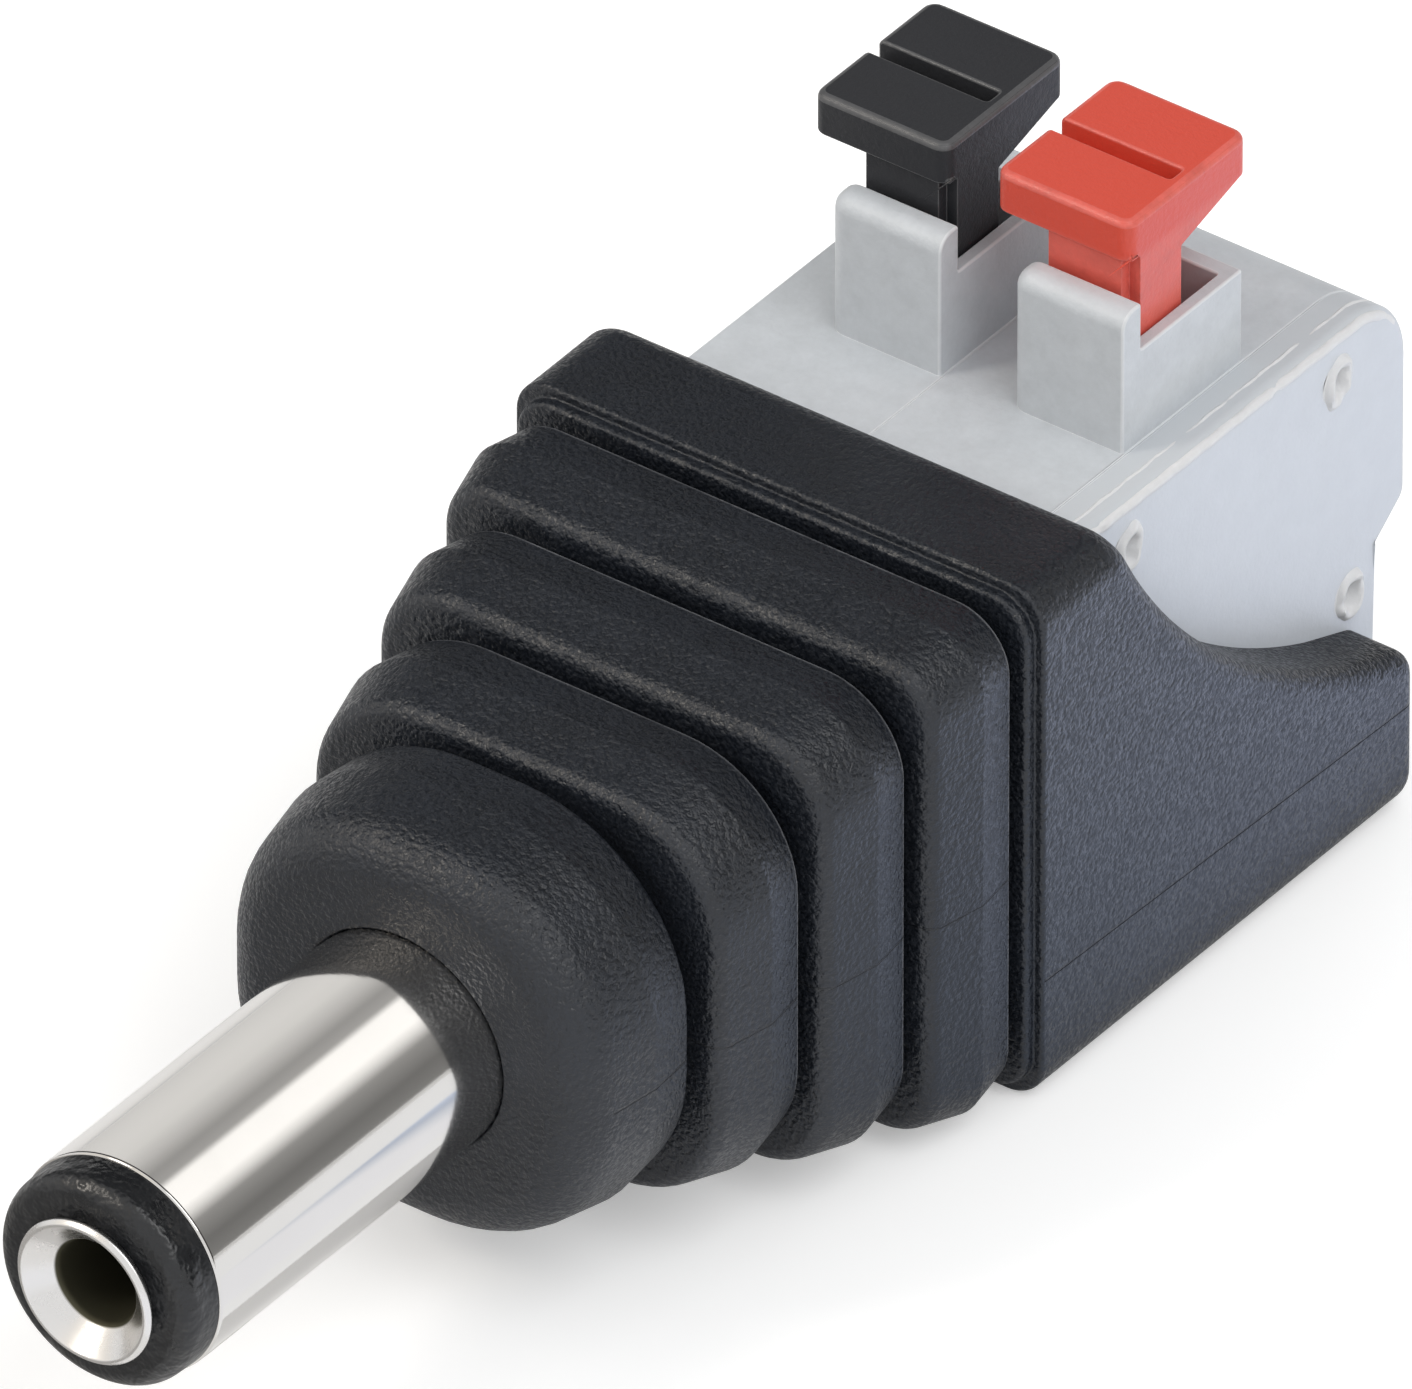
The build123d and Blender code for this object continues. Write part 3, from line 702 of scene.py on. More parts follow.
def plated_metal(name, colour, roughness, lines=9000.0, depth=0.0004, bore=None):
    """A plated, turned metal with faint lines and smears. bore, a radius in millimetres, makes the
    metal inside it dull, and dark as painted shade in the bore."""
    material, tree, shader = new_material(name, Metallic=1.0)
    marks = group_node(tree, "tool_marks", Lines_per_metre=lines, Smears_per_metre=420.0)
    smears = marks.outputs["Smears"]
    tint(tree, shader, smears, scaled(colour, 0.97), scaled(colour, 1.03))
    drift(tree, shader, smears, roughness * 0.8, roughness * 1.25)
    if bore is not None:
        axes = object_axes(tree)
        square = math(tree, "POWER", axes["X"], 2.0)
        square = math(tree, "ADD", square, math(tree, "POWER", axes["Z"], 2.0))
        distance = math(tree, "SQRT", square)
        # Painted shade: inside the bore the metal is painted a dark olive.
        within = remap(tree, distance, bore * MM, (bore + 0.04) * MM, 1.0, 0.0)
        repaint(tree, shader, within, (0.10, 0.095, 0.065))
        plain = shader.inputs["Roughness"].links[0].from_socket
        dull = math(tree, "ADD", plain, math(tree, "MULTIPLY", within, 0.4), True)
        tree.links.new(dull, shader.inputs["Roughness"])
    add_bump(tree, shader, marks.outputs["Height"], depth * MM)
    return material


# ---------------------------------------------------------------------- operators

class PLUG_OT_barrel(bpy.types.Operator):
    """Turn the sleeve, the tip ring and the centre contact"""

    bl_idname = "plug.barrel"
    bl_label = "Barrel"

    def execute(self, context):
        sizes = context.scene.plug_barrel
        radius = sizes.sleeve_radius / MM
        front, rear = sleeve_low[1], sleeve_high[1]
        wall, groove_depth, stake = 0.5, 0.2, 0.2
        bore, groove = radius - wall, radius - groove_depth
        flange = sleeve_high[0]
        sleeve = lathe(
            "sleeve",
            [
                (front, bore), (front, radius), (0.1, radius), (0.1, groove),
                (1.2, groove), (1.2, flange), (2.0, flange), (2.0, radius),
                (rear - 0.3, radius), (rear - 0.3, radius + stake), (rear, radius + stake),
                (rear, bore),
            ],
            [0.06, sizes.lip_round / MM] + [0.04] * 10,
            plated_metal("sleeve_nickel", sizes.sleeve_colour, 0.08),
        )
        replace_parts(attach(sleeve, "plug"), "contact_sleeve")

        tip = tip_low[1]
        rim = contact_low[1]
        ring = radius - 0.05
        contact_radius, rim_radius = 1.4, contact_high[0]
        flare_start = rim + 0.70
        at_face = contact_radius + (rim_radius - contact_radius) * (flare_start - tip) / 0.55
        ring_piece = lathe(
            "tip_ring",
            [
                (rear, contact_radius), (flare_start, contact_radius), (tip, at_face),
                (tip, ring - 0.05), (front, ring), (front, bore), (rear, bore),
            ],
            [0.03, 0.03, 0.05, 0.68, 0.03, 0.03, 0.03],
            worn_plastic("insulator_black", sizes.insulator_colour),
            steps=12,
        )
        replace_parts(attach(ring_piece, "plug"), "tip_insulator")

        rear_end = contact_high[1]
        contact = lathe(
            "centre_contact_turned",
            [
                (-1.425, 0), (-1.95, 1.05), (rim + 0.6, 1.05), (rim, rim_radius - 0.15),
                (rim + 0.15, rim_radius), (flare_start, contact_radius), (rear, contact_radius),
                (rear, 0.8), (rear_end - 0.35, 0.8), (rear_end - 0.35, 1.15),
                (rear_end, 1.15), (rear_end, 0),
            ],
            [0, 0.05, 0.25, 0.07, 0.07, 0.1] + [0.04] * 5 + [0],
            plated_metal("contact_nickel", sizes.contact_colour, 0.26, bore=1.10),
            closed=False,
        )
        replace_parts(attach(contact, "plug"), "centre_contact")
        return {"FINISHED"}


def ring_frame(side_heights, arc_steps=14, run_steps=24):
    """The shape common to all of the housing's sections. A point of a section
    with half sizes w, h and corner c is at (a (w - c) + b c, d (h - c) + e c):
    (a, d) is the corner's quarter, and slides from one to the next along a
    straight side; (b, e) is the unit direction that the outline faces."""
    sweep = np.linspace(0, np.pi / 2, arc_steps + 1)
    across = np.linspace(1, -1, run_steps + 2)[1:-1]
    level = np.asarray(side_heights)
    one, flat = np.ones(len(level)), np.ones(run_steps)
    straights = (
        np.stack([one, level, one, 0 * one], 1),
        np.stack([across, -flat, 0 * flat, -flat], 1),
        np.stack([-one, level[::-1], -one, 0 * one], 1),
        np.stack([-across, flat, 0 * flat, flat], 1),
    )
    parts = []
    for quarter, straight in enumerate(straights):
        turn = np.pi / 2 - sweep - quarter * np.pi / 2
        sign_x = 1 if quarter in (0, 1) else -1
        sign_z = 1 if quarter in (0, 3) else -1
        arc = np.stack(
            [sign_x + 0 * turn, sign_z + 0 * turn, np.cos(turn), np.sin(turn)], 1
        )
        parts += [arc, straight]
    return np.concatenate(parts).T


def section_rings(shape, y, half_width, half_height, corner):
    """Rings of the housing at the places y, each with its own half sizes and
    corner, by the formula in ring_frame."""
    a, d, b, e = shape
    y, w, h, c = (np.asarray(v, float)[:, None] for v in (y, half_width, half_height, corner))
    x = a * (w - c) + b * c
    z = d * (h - c) + e * c
    return np.stack([x, y + 0 * x, z], -1)


class PLUG_OT_housing(bpy.types.Operator):
    """Mould the housing: nose, ribs, band and the tub round the terminal block"""

    bl_idname = "plug.housing"
    bl_label = "Housing"

    def execute(self, context):
        look = context.scene.plug_housing
        half_w, half_h = housing_high[0], housing_high[2]
        end_y = housing_high[1]
        block_front = 15.2
        inner_w = plate_high[0]
        inner_low, inner_high = plate_low[2], plate_high[2]

        # The rim seen from the side: an arc down behind the band, a soft corner,
        # then straight down the rear end
        first, middle, last = np.array([(16.95, half_h), (21.5, 0.85), (end_y, -2.8)])
        chord = np.array([first - middle, middle - last])
        halfway = np.array([(first + middle) / 2, (middle + last) / 2])
        arc_centre = np.linalg.solve(chord, (chord * halfway).sum(1))
        arc_radius = np.linalg.norm(first - arc_centre)
        angles = [np.arctan2(*(p - arc_centre)[::-1]) % (2 * np.pi) for p in (first, last)]
        angle = np.linspace(angles[0], angles[1] - 0.12, 90)
        arc = arc_centre + arc_radius * np.stack([np.cos(angle), np.sin(angle)], 1)
        tail, _ = rounded_profile(
            [arc[-1], (end_y, last[1] - 0.02), (end_y, -half_h)], 0.65, False, 8
        )
        rim = np.concatenate([arc, tail[1:]])
        step = np.linalg.norm(np.diff(rim, axis=0), axis=1)
        way = np.concatenate([[0], np.cumsum(step)])

        def rim_at(z):
            """Place along Y, and outward direction (y, z), of the rim at a height."""
            y = np.interp(z, rim[::-1, 1], rim[::-1, 0])
            slope = np.gradient(rim, axis=0)
            slope = slope / np.linalg.norm(slope, axis=1)[:, None]
            out_y = np.interp(z, rim[::-1, 1], -slope[::-1, 1])
            out_z = np.interp(z, rim[::-1, 1], slope[::-1, 0])
            size = np.hypot(out_y, out_z)
            return y, out_y / size, out_z / size

        # Heights of the points down a side wall, evenly spaced along the rim
        straight = half_h - 1.0
        top_way = np.interp(-straight, -rim[:, 1], way)
        low_way = np.interp(straight, -rim[:, 1], way)
        spaced = np.interp(np.linspace(top_way, low_way, 92)[1:-1], way, rim[:, 1])
        shape = ring_frame(spaced / straight)

        # The outline from the nose to the band: corners (y, half width), the
        # section's corner and the edge's rounding
        pitch, groove, rise, fall = 3.17, 0.40, 0.32, 0.14
        nose_edge, nose_rear, first_rib, ring_y, band_y = 2.3, 3.65, 4.2, 13.71, 14.01

        def core(y):
            """Half width and corner of the core that the grooves go down to."""
            ends = (nose_edge, ring_y)
            return np.interp(y, ends, (4.07, 5.81)), np.interp(y, ends, (3.54, 1.0))

        outline = [
            (0.0, 4.95, 4.42, 1.20), (nose_edge, 5.27, 4.42, 0.10), (3.62, 5.18, 4.42, 0.12),
            (nose_rear, *core(nose_rear), 0.08),
        ]
        for index in range(3):
            y = first_rib + index * pitch
            width = half_w - (3 - index) * 0.56
            corner = 1.0 * 1.45 ** (3 - index)
            rear = y + pitch - groove
            outline += [
                (y, *core(y), 0.08),
                (y, width, corner, look.rib_round / MM),
                (y + 1.55, width + rise, corner, 0.07),
                (rear - 0.03, width + rise - fall, corner, 0.08),
                (rear, *core(rear), 0.08),
            ]
        outline += [
            (ring_y, core(ring_y)[0], 1.0, 0.05), (ring_y, half_w - 0.25, 1.0, 0.13),
            (band_y, half_w - 0.25, 1.0, 0.05), (band_y, half_w, 1.0, 0.20),
            (15.5, half_w, 1.0, 0.0),
        ]
        outline = np.array(outline)
        start = np.array([(0.0, 2.0)])
        profile, number = rounded_profile(
            np.concatenate([start, outline[:, :2]]),
            np.concatenate([[0], outline[:, 3]]), False, 7, 0.03,
        )
        profile, number = profile[1:-1], number[1:-1] - 1
        y, width = profile.T
        corner = outline[number, 2] + np.minimum(0, width - outline[number, 1])
        height = width - np.interp(y, (nose_rear, first_rib), (0.0, 0.35))
        skin = section_rings(shape, y, width, height, corner)

        # Front face: from a small round at the sleeve out to the nose's edge
        edge = skin[0]
        heading = edge[:, [0, 2]] / np.linalg.norm(edge[:, [0, 2]], axis=1)[:, None]

        def circle(radius, place):
            return np.stack(
                [heading[:, 0] * radius, np.full(len(heading), place), heading[:, 1] * radius], 1
            )

        turn = np.linspace(0, np.pi / 2, 5)
        mouth = [circle(2.75 + 0.1 * (1 - np.cos(t)), 0.1 * (1 - np.sin(t))) for t in turn]
        share = np.linspace(0, 1, 9)[1:-1, None, None]
        face = mouth[-1] * (1 - share) + edge * share
        bore = [circle(r, p) for r, p in ((0.6, block_front), (0.6, 3.8), (2.75, 3.7))]

        # Tub: the outer wall runs back to the rim, whose outer edge is a quarter
        # round between the wall and the rim's land
        a, d, b, e = shape
        x_out = a * (half_w - 1) + b
        z_out = d * (half_h - 1) + e
        y_rim, out_y, out_z = rim_at(z_out)
        facing = np.stack([b, 0 * b, e], 1)
        land = np.stack([0 * b, out_y, out_z], 1)
        along = (facing * land).sum(1)[:, None]
        land_t = land - along * facing
        land_t /= np.linalg.norm(land_t, axis=1)[:, None]
        facing_t = facing - along * land
        facing_t /= np.linalg.norm(facing_t, axis=1)[:, None]
        crest = np.stack([x_out, y_rim, z_out], 1)
        soft = look.rim_round / MM
        quarter = np.linspace(0, np.pi / 2, 9)[:, None, None]
        round_edge = (
            crest - soft * land_t * (1 - np.sin(quarter)) - soft * facing_t * (1 - np.cos(quarter))
        )
        share = np.concatenate([np.linspace(0, 0.97, 22), [0.995]])[1:, None, None]
        wall = skin[-1] * (1 - share) + round_edge[0] * share

        # Land, inner wall and floor of the space for the block
        x_in = np.clip(x_out, -inner_w, inner_w)
        z_in = np.clip(z_out, inner_low, inner_high)
        y_in = rim_at(z_in)[0]
        brink = np.stack([x_in, y_in, z_in], 1)
        share = np.linspace(0, 1, 7)[1:-1, None, None]
        top_land = round_edge[-1] * (1 - share) + brink * share
        floor_edge = np.stack([x_in, np.full(len(x_in), block_front), z_in], 1)
        share = np.linspace(0, 1, 8)[:-1, None, None]
        inner = brink * (1 - share) + floor_edge * share
        drawn_in = floor_edge * (0.5, 1, 0.5)
        grid = np.concatenate(
            [bore, mouth, face, skin, wall, round_edge, top_land, inner, [floor_edge, drawn_in]]
        )
        grid = np.clip(grid, housing_low, housing_high)
        # The last argument gives the places of the painted highlights along the ribs' rear edges.
        material = soft_pvc(
            look.colour, look.grain_size, look.grain_depth, (half_w - 0.3) * MM,
            [first_rib + n * pitch - groove - 0.06 for n in range(4)],
        )
        housing = grid_mesh("overmoulded_housing", grid, material)
        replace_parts(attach(housing, "plug"), "housing")
        return {"FINISHED"}


def peg_places():
    """Places (y, z) of the three pegs on the end plate, in millimetres."""
    front, rear, top = plate_low[1], plate_high[1], plate_high[2]
    step_rear, step_z = rear - 1.3, -0.2
    return [
        (front + 4.3, top - 1.3), (rear - 2.7, top - 1.3), (step_rear - 0.9, step_z - 1.55),
    ]


def staked_rim(name, place, number, material):
    """The torn rim left where a peg was staked over: a ring about the peg whose
    profile, from the hollow over the crest to the plate, is carried round X. At
    the angle t its radius grows and shrinks by two slow waves, and its crest
    sinks where the ring is torn, by a narrow bell about one angle."""
    angle = round_angles(96)
    radius = np.array([0.08, 0.20, 0.27, 0.33, 0.40, 0.48, 0.55, 0.60, 0.635, 0.70])[None, :]
    height = np.array([-0.34, -0.30, -0.14, 0.04, 0.12, 0.14, 0.11, 0.03, -0.02, -0.03])[None, :]
    wave = 0.07 * np.sin(2 * angle + 1.3 * number) + 0.03 * np.sin(5 * angle + 2 * number)
    torn_at = 0.7 + 2.1 * number
    off = np.angle(np.exp(1j * (angle - torn_at)))
    torn = np.exp(-((off / 0.30) ** 2))
    radius = radius * (1 + wave)
    height = np.where(height > 0, height * (1 - 0.7 * torn + 0.25 * np.sin(3 * angle)), height)
    y, z = place
    lean = 0.35
    across = 0.80 * radius * np.sin(angle)
    grid = np.stack(
        [
            plate_high[0] + height + 0 * angle,
            y + across,
            z + 0.98 * radius * np.cos(angle) + lean * across,
        ],
        -1,
    )
    hollow = np.repeat(grid[:, :1].mean(0, keepdims=True), len(grid), 0)
    return grid_mesh(name, np.concatenate([hollow, grid], 1), material, wrap_columns=False)


def torn_flash(name, material):
    """The strip of torn flash along the end plate's top outer edge. Its profile
    (x, height over the block's top) has a thin lip on top and a thicker bead
    outside. It is carried back along the top and over the crown: past the
    crown's start it turns about the crown's centre, at the angle t, so that
    a point of height h is at (2 + h) times (sin t, cos t) from there. Each lip
    swells and shrinks by slow waves, and sinks by narrow bells where it is torn."""
    crown, top, rear, outer = 2.0, plate_high[2], plate_high[1], plate_high[0]
    profile = np.array([
        (-0.56, -0.030, 0.00), (-0.54, 0.010, 1.00), (-0.50, 0.036, 1.00), (-0.46, 0.010, 1.00),
        (-0.43, -0.015, 0.00), (-0.28, -0.030, 0.00), (-0.17, -0.055, 0.00), (-0.12, -0.09, 0.00),
        (-0.085, -0.070, 2.00), (-0.03, -0.080, 2.00), (0.02, -0.13, 2.00), (0.045, -0.20, 2.00),
        (0.03, -0.27, 2.00), (-0.01, -0.32, 0.00), (-0.10, -0.30, 0.00), (-0.40, -0.10, 0.00),
    ])
    start = 15.25
    length = rear - crown - start
    way = np.concatenate([np.linspace(0, length, 220), length + np.linspace(0, 1.9, 50)[1:]])
    along = way[:, None]
    turn = np.maximum(along - length, 0) / crown

    def waves(phase):
        return (
            0.75 + 0.14 * np.sin(1.9 * along + phase) + 0.12 * np.sin(4.7 * along + 2 * phase)
            + 0.12 * np.sin(11.3 * along + 3 * phase) + 0.07 * np.sin(23.0 * along + phase)
        )

    def tears(places):
        return 1 - sum(0.8 * np.exp(-(((along - p) / w) ** 2)) for p, w in places)

    lip = waves(0.6) * tears([(1.4, 0.3), (6.9, 0.5), (11.6, 0.25)])
    bead = (0.45 + 0.55 * waves(2.2)) * tears([(3.2, 0.12), (9.8, 0.2)])
    fade = np.clip((way[-1] - along) / 1.2, 0, 1)
    kind = profile[None, :, 2]
    swell = np.where(kind == 1, lip * fade, np.where(kind == 2, bead * fade, 1.0))
    base = np.where(kind == 1, -0.015, np.where(kind == 2, -0.06, 0.0))
    x = profile[None, :, 0] + np.where(kind == 2, -0.06 * (1 - swell), 0)
    x = x + 0.012 * np.sin(6.1 * along) * (kind > 0)
    h = np.where(kind == 1, base + (profile[None, :, 1] - base) * swell, profile[None, :, 1])
    h = np.where(kind == 2, h - 0.03 * (1 - swell), h)
    y = start + np.minimum(along, length) + (crown + h) * np.sin(turn)
    z = top - crown + (crown + h) * np.cos(turn)
    grid = np.stack([outer + x + 0 * along, y, z], -1)
    ends = [np.repeat(grid[k : k + 1].mean(1, keepdims=True), grid.shape[1], 1) for k in (0, -1)]
    return grid_mesh(
        name, np.concatenate([ends[0], grid, ends[1]], 0), material, wrap_rows=False
    )


class PLUG_OT_terminal_block(bpy.types.Operator):
    """Dress the two terminal bodies, the end plate and its pegs"""

    bl_idname = "plug.terminal_block"
    bl_label = "Terminal block"

    def execute(self, context):
        look = context.scene.plug_block
        width = look.edge_round
        grey = hard_plastic("block_grey", look.block_colour, 0.46, 0.014, 0.11, 6500.0)
        # The bevels take a paler grey than the faces: a painted highlight along the moulded edges.
        edge_highlight_colour = paler(look.block_colour, 0.25)
        grey_edge_highlight = hard_plastic("block_grey_edge_highlight", edge_highlight_colour, 0.40, 0.006, 0.06, 6500.0)
        plate_face = plate_high[0]

        def sunk_pegs(points):
            """The pegs end below the plate's face, inside their staked rims."""
            beyond = points[:, 0] > plate_face - 0.01
            points[beyond, 0] = plate_face - look.peg_recess / MM
            return points

        # How far the cavities stay inside the block's outside, and where two
        # mouldings meet along X
        roof, crown, side = 0.75, 2.05, 0.35
        seams = (-0.55, -0.075, plate_low[0])

        def seams_thin(middles):
            """Full rounds, but none inside the block, thin ones where two
            mouldings meet, and thinner ones at the collars' feet on top."""
            x, y, z = middles.T
            behind_front = y > plate_low[1] + 0.1
            inside = (np.abs(z) < plate_high[2] - roof) & behind_front
            inside &= (y < plate_high[1] - crown) & (np.abs(x) < plate_high[0] - side)
            seam = sum(np.abs(x - place) < 0.03 for place in seams) > 0
            on_top = np.abs(z - plate_high[2]) < 0.02
            foot = on_top & (np.abs(x) < 5.5) & behind_front & ~seam
            share = np.where(foot, 0.15, np.where(seam & on_top, 0.3, 1.0))
            return np.where(inside, 0.0, share)

        for pole in ("negative", "positive"):
            name = f"terminal_body_{pole}"
            change = sunk_pegs if pole == "positive" else None
            body = dressed_copy(
                f"moulded_{name}", name, (grey, grey_edge_highlight), width, seams_thin, change=change
            )
            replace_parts(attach(body, "plug"), name)

        # Below its top strip the plate is bluer: partly its own tone, partly painted cool light on
        # its side; the top strip takes the bodies' grey.
        plate_grey = hard_plastic(
            "plate_grey", look.plate_colour_and_side_light, 0.42, 0.007, 0.05, 6500.0,
            top=(plate_high[2] - 0.3, look.block_colour),
        )
        # The plate's bevels are paler still: a painted highlight along its edges.
        plate_edge_highlight = hard_plastic(
            "plate_grey_edge_highlight", paler(look.plate_colour_and_side_light, 0.2), 0.40, 0.004, 0.04
        )
        # The flash and the staked rims are paler than the plate: partly their own tone, partly a
        # painted highlight.
        flash = hard_plastic("plate_flash", look.flash_and_highlight_colour, 0.45, 0.008, 0.05, 6500.0)
        plate = dressed_copy(
            "moulded_end_plate", "end_plate", (plate_grey, plate_edge_highlight), width, seams_thin
        )
        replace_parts(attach(plate, "plug"), "end_plate")
        for index, place in enumerate(peg_places()):
            rim = staked_rim(f"staked_peg_{index + 1}", place, index, flash)
            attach(rim, "plug")
        strip = torn_flash("plate_edge_flash", flash)
        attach(strip, "plug")
        return {"FINISHED"}


class PLUG_OT_push_buttons(bpy.types.Operator):
    """Dress the black and the red push button"""

    bl_idname = "plug.push_buttons"
    bl_label = "Push buttons"

    def execute(self, context):
        look = context.scene.plug_block
        # The last number of each entry pales the button below its head: painted light on the red
        # stem.
        kinds = {
            "negative": ("black_button", look.black_button, "button_black", 0.10, 0.15, 0.0),
            "positive": ("red_button", look.red_button, "button_red", 0.14, 0.5, 0.045),
        }
        thickness, length, slot_half = 1.05, 4.5, 0.33
        for pole, (body, colour, slot, spread, specular, pale) in kinds.items():
            _, high = node_box(f"push_button_{pole}")
            under, middle = high[2] - thickness, high[1] - length / 2

            def narrow_slot(points):
                """The slot's walls come nearer together."""
                off = points[:, 1] - middle
                in_slot = (np.abs(np.abs(off) - slot_half) < 0.005) & (points[:, 2] > under)
                points[in_slot, 1] = middle + np.sign(off[in_slot]) * look.slot_width / MM / 2
                return points

            def softness(middles):
                """Full rounds on the head, and thin ones on the stem."""
                z = middles[:, 2]
                return np.where(z > under + 0.2, 1.0, np.where(z > under - 0.15, 0.6, 0.3))

            material = hard_plastic(
                slot, paler(colour, pale), 0.42, 0.020, spread, 6500.0, specular, (under, colour)
            )
            # The bevels take a slightly paler material: a painted highlight along the edges.
            edge = hard_plastic(
                f"{slot}_edge", paler(colour, 0.05), 0.40, 0.014, 0.25, 6500.0
            )
            button = dressed_copy(
                f"moulded_{body}", f"push_button_{pole}", (material, edge),
                look.button_round, softness, 3, narrow_slot,
            )
            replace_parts(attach(button, body), f"push_button_{pole}")
        return {"FINISHED"}


class PLUG_OT_inner_metal(bpy.types.Operator):
    """Give the parts inside the housing and the block their finishes"""

    bl_idname = "plug.inner_metal"
    bl_label = "Inner parts"

    def execute(self, context):
        metals = {
            "sleeve_lug": ("lug_tin", (0.58, 0.57, 0.55), 0.32, 4000.0, 0.001),
            "solder_joint_negative": ("solder", (0.50, 0.50, 0.49), 0.38, 1500.0, 0.003),
            "contact_bar_negative": ("bar_copper", (0.80, 0.42, 0.26), 0.30, 3000.0, 0.001),
            "clamp_spring_negative": ("spring_steel", (0.52, 0.51, 0.50), 0.26, 5000.0, 0.001),
        }
        washer = hard_plastic("washer_natural", (0.62, 0.58, 0.48), 0.5, 0.002, 0.05)
        finishes = {"rear_washer": washer}
        finishes.update({name: plated_metal(*look) for name, look in metals.items()})
        shared = {
            "centre_lug": "sleeve_lug",
            "solder_joint_positive": "solder_joint_negative",
            "contact_bar_positive": "contact_bar_negative",
            "clamp_spring_positive": "clamp_spring_negative",
        }
        for name, like in {**{n: n for n in finishes}, **shared}.items():
            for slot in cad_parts[name].material_slots:
                slot.material = finishes[like]
        return {"FINISHED"}


def glossy_only(piece):
    """Marks a card as part of the stage that only reflections see."""
    for ray in ("camera", "diffuse", "transmission", "volume_scatter", "shadow"):
        setattr(piece, f"visible_{ray}", False)


def glowing(name, tree_colour):
    """A material that only gives light; tree_colour(tree) makes its colour, an
    output socket or a constant."""
    material = bpy.data.materials.new(name)
    tree = emptied(material)
    put_out(
        tree, node(tree, "ShaderNodeEmission", [("Color", tree_colour(tree)), ("Strength", 2.0)])
    )
    return material


def reflecting_arch(name, radius, near, far, stops, tone):
    """A sheet bent about the barrel's axis, in millimetres: at the angle t from
    straight up it stands radius away, and it runs from near to far along Y. Its
    light follows the angle, by stops of (angle in degrees, level)."""
    angle = np.radians(np.linspace(-89, 89, 91))[:, None]
    y = np.array([near, far])[None, :]
    grid = np.stack(
        [radius * np.sin(angle) + 0 * y, y + 0 * angle, radius * np.cos(angle) + 0 * y], -1
    )

    def level(tree):
        axes = object_axes(tree)
        turned = math(tree, "ARCTAN2", axes["X"], axes["Z"])
        share = math(tree, "ADD", math(tree, "DIVIDE", turned, 2 * np.pi), 0.5)
        return ramp(
            tree, share,
            [(0.5 + t / 360, tuple(v * c / 2 for c in tone)) for t, v in stops],
        )

    glossy_only(grid_mesh(name, grid, glowing(name, level), False, False))


def level_grid(xs, ys, z):
    """The corners of a level rectangle, in millimetres."""
    return np.stack(np.meshgrid(xs, ys, [z], indexing="ij"), -1)[:, :, 0]


def reflecting_card(name, low, high, stops):
    """A level card between two corners, in millimetres. Its light follows Y, by
    stops of (place in millimetres, colour)."""
    (x1, y1, z), (x2, y2) = low, high
    grid = level_grid([x1, x2], [y1, y2], z)

    def level(tree):
        share = remap(tree, object_axes(tree)["Y"], y1 * MM, y2 * MM)
        return ramp(
            tree, share, [((y - y1) / (y2 - y1), tuple(c / 2 for c in tone)) for y, tone in stops]
        )

    glossy_only(grid_mesh(name, grid, glowing(name, level), False, False))


def facing_card(name, middle, facing, half, tone):
    """A square card about its middle, in millimetres, that faces a direction:
    its corners are half a side away along two directions square to that one."""
    facing = np.asarray(facing, float) / np.linalg.norm(facing)
    aside = np.cross((0, 0, 1), facing)
    aside /= np.linalg.norm(aside)
    upward = np.cross(facing, aside)
    share = np.array([-half, half])
    grid = (
        np.asarray(middle, float) + share[:, None, None] * aside + share[None, :, None] * upward
    )
    plain = (*(c / 2 for c in tone), 1)
    glossy_only(grid_mesh(name, grid, glowing(name, lambda tree: plain), False, False))


def softbox(name, direction, distance, size, power, colour):
    """A square area lamp that looks at the plug's middle."""
    data = bpy.data.lights.new(name, "AREA")
    data.shape = "RECTANGLE"
    data.size, data.size_y = size
    data.energy = power
    data.color = colour
    lamp = linked(name, data)
    heading = Vector(direction).normalized()
    middle = Vector((0, 10 * MM, 0))
    lamp.matrix_world = (
        Matrix.Translation(middle + heading * distance)
        @ heading.to_track_quat("Z", "Y").to_matrix().to_4x4()
    )


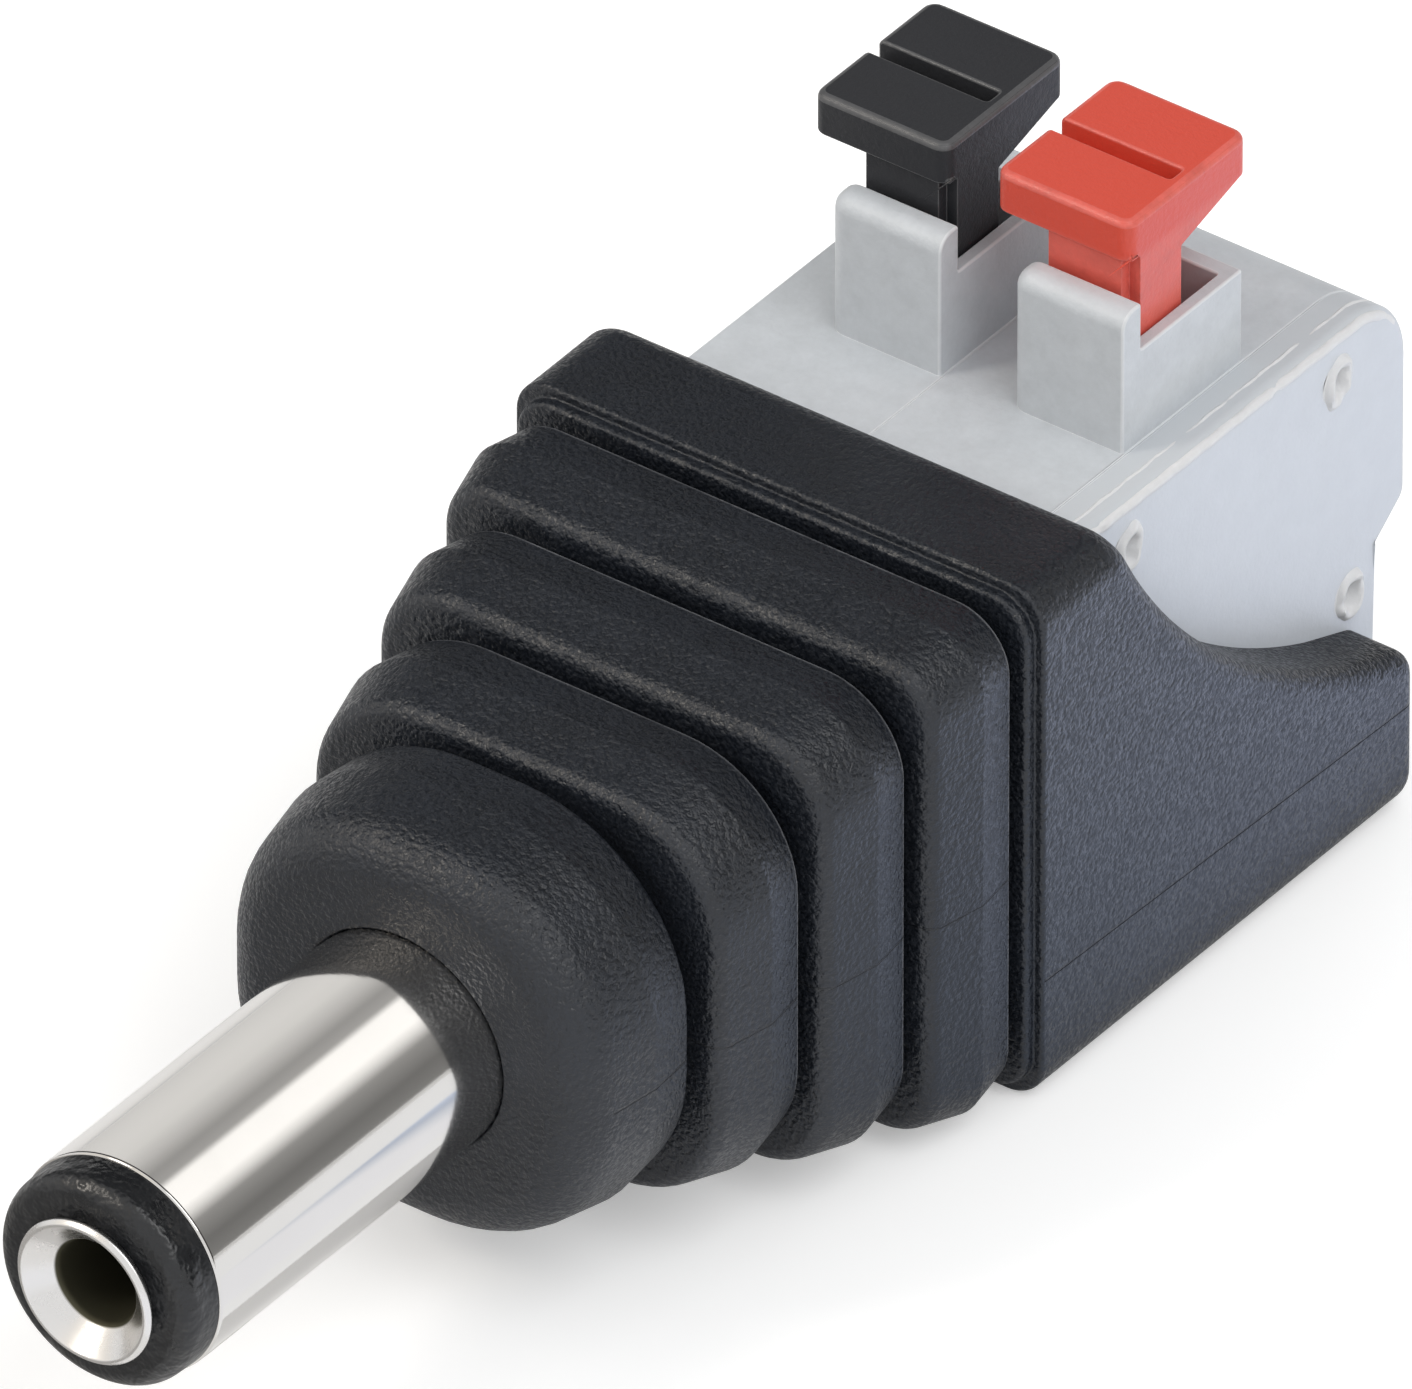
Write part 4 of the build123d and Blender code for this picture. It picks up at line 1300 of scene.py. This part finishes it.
class PLUG_OT_stage(bpy.types.Operator):
    """Set up the floor, the lamps and the camera"""

    bl_idname = "plug.stage"
    bl_label = "Stage"

    def execute(self, context):
        scene = context.scene
        look = scene.plug_stage
        scene.view_settings.view_transform = "Standard"

        # Floor: pale, with a little light of its own so that it meets the sky
        floor_z = cad_bounds[0][2] / MM
        side = [-1500.0, 1500.0]
        paint = bpy.data.materials.new("floor_paint")
        tree = emptied(paint)
        matt = node(tree, "ShaderNodeBsdfDiffuse", [("Color", (*look.floor_colour, 1))])
        seen = node(tree, "ShaderNodeLightPath")
        shown = math(
            tree, "ADD", math(tree, "MULTIPLY", seen.outputs["Is Camera Ray"], look.floor_glow),
            math(tree, "MULTIPLY", seen.outputs["Is Glossy Ray"], 0.1),
        )
        glow = node(tree, "ShaderNodeEmission", [("Color", (1, 1, 1, 1)), ("Strength", shown)])
        put_out(
            tree,
            node(tree, "ShaderNodeAddShader", [(0, matt.outputs[0]), (1, glow.outputs[0])]),
        )
        floor = grid_mesh("floor", level_grid(side, side, floor_z), paint, False, False)
        if floor.data.polygons[0].normal.z < 0:
            floor.data.flip_normals()

        # Sky: even light, and plain white to the camera and in reflections
        world = bpy.data.worlds.new("sky")
        scene.world = world
        tree = emptied(world)
        seen = node(tree, "ShaderNodeLightPath")
        white = math(tree, "MAXIMUM", seen.outputs["Is Camera Ray"], seen.outputs["Is Glossy Ray"])
        white = math(tree, "MAXIMUM", white, seen.outputs["Is Transmission Ray"])
        strength = remap(tree, white, 0.0, 1.0, look.sky_level)
        sky = node(tree, "ShaderNodeBackground", [("Color", (1, 1, 1, 1)), ("Strength", strength)])
        put_out(tree, sky, "ShaderNodeOutputWorld")

        softbox(
            "key_softbox", (0.62, -0.10, 0.78), 0.5, (0.35, 0.35), look.key_power, (1.0, 1.0, 1.0)
        )
        softbox(
            "front_softbox", (-0.48, -0.585, 0.654), 0.4, (0.10, 0.10), look.edge_power,
            (1.0, 0.93, 0.84),
        )

        # Cards for the reflections: a dim tent behind the plug, a strip of light
        # that the round sleeve shows as its long highlights, and a cool floor
        reflecting_arch(
            "dim_tent", 340, 20, 1200, [(-90, look.tent_level), (90, look.tent_level)],
            (1.0, 0.97, 0.93),
        )
        reflecting_arch(
            "barrel_strip", 300, 222, 282,
            [(-87, 0.86), (-71, 0.95), (-55, 1.0), (-39, 0.97), (-23, 0.76), (-7, 0.46),
             (5, 0.55), (11, 1.55), (34, 1.6), (42, 1.15), (52, 0.42), (72, 0.24), (88, 0.3)],
            (1.0, 0.992, 0.975),
        )
        card_z = floor_z + 0.05
        reflecting_card(
            "cool_floor", (8.0, -80, card_z), (22, 220),
            [(-80, (1.10, 1.11, 1.14)), (7, (1.12, 1.13, 1.18)), (12, (0.63, 0.70, 0.84)),
             (20, (0.98, 1.10, 1.40)), (32, (1.50, 1.66, 2.15)), (220, (1.3, 1.42, 1.8))],
        )
        pale = (1.13, 1.14, 1.16)
        reflecting_card("barrel_floor", (5.5, -30, card_z), (8.0, 7.0), [(-30, pale), (7, pale)])
        reflecting_card("far_floor", (22, -80, card_z), (160, 220), [(-80, pale), (220, pale)])
        dim = (0.50, 0.485, 0.465)
        reflecting_card(
            "dim_front_floor", (-200, -220, card_z), (-0.5, -3.5), [(-220, dim), (-3.5, dim)]
        )
        # A warm card in front for the upper edges, and a small one close by for
        # the round edge of the rim
        front = np.array([-0.48, -0.585, 0.654])
        facing_card("warm_front", front * 425 + (0, 10, 0), -front, 230, (1.0, 0.95, 0.88))
        facing_card("rim_card", (42, 63, 28), (-35, -39, -29), 10, (1.6, 1.50, 1.38))

        data = bpy.data.cameras.new("camera")
        camera = linked("camera", data)
        azimuth, elevation = look.camera_azimuth, look.camera_elevation
        right = Vector((np.cos(azimuth), np.sin(azimuth), 0))
        back = Vector(
            (np.sin(azimuth) * np.cos(elevation), -np.cos(azimuth) * np.cos(elevation),
             np.sin(elevation))
        )
        up = back.cross(right)
        aim = (right * 6.700 + up * 7.583) * MM
        camera.matrix_world = Matrix.Translation(aim + back * look.camera_distance) @ Matrix(
            (right, up, back)
        ).transposed().to_4x4()
        sensor = 36
        data.sensor_width = sensor
        data.lens = sensor * look.camera_distance / look.frame_width
        data.clip_start, data.clip_end = 0.1, 10
        scene.camera = camera
        return {"FINISHED"}


class PLUG_PT_panel(bpy.types.Panel):
    """Lists the plug's settings and makers"""

    bl_idname = "PLUG_PT_panel"
    bl_label = "Barrel Plug"
    bl_space_type = "VIEW_3D"
    bl_region_type = "UI"
    bl_category = "Barrel Plug"

    def draw(self, context):
        for group, kind in SETTINGS.items():
            box = self.layout.box()
            for label in kind.__annotations__:
                box.prop(getattr(context.scene, group), label)
        for maker in MAKERS:
            self.layout.operator(maker.bl_idname)


MAKERS = (
    PLUG_OT_stage,
    PLUG_OT_barrel,
    PLUG_OT_housing,
    PLUG_OT_terminal_block,
    PLUG_OT_push_buttons,
    PLUG_OT_inner_metal,
)


def register():
    for kind in (*SETTINGS.values(), *MAKERS, PLUG_PT_panel):
        bpy.utils.register_class(kind)
    for group, kind in SETTINGS.items():
        setattr(bpy.types.Scene, group, bpy.props.PointerProperty(type=kind))


def unregister():
    for group in SETTINGS:
        delattr(bpy.types.Scene, group)
    for kind in reversed((*SETTINGS.values(), *MAKERS, PLUG_PT_panel)):
        bpy.utils.unregister_class(kind)


def main():
    register()
    for make in (leather_grain, moulded_grain, tool_marks):
        GROUPS[make.__name__] = make()
    for maker in MAKERS:
        area, name = maker.bl_idname.split(".")
        getattr(getattr(bpy.ops, area), name)()


if __name__ == "__main__":
    main()
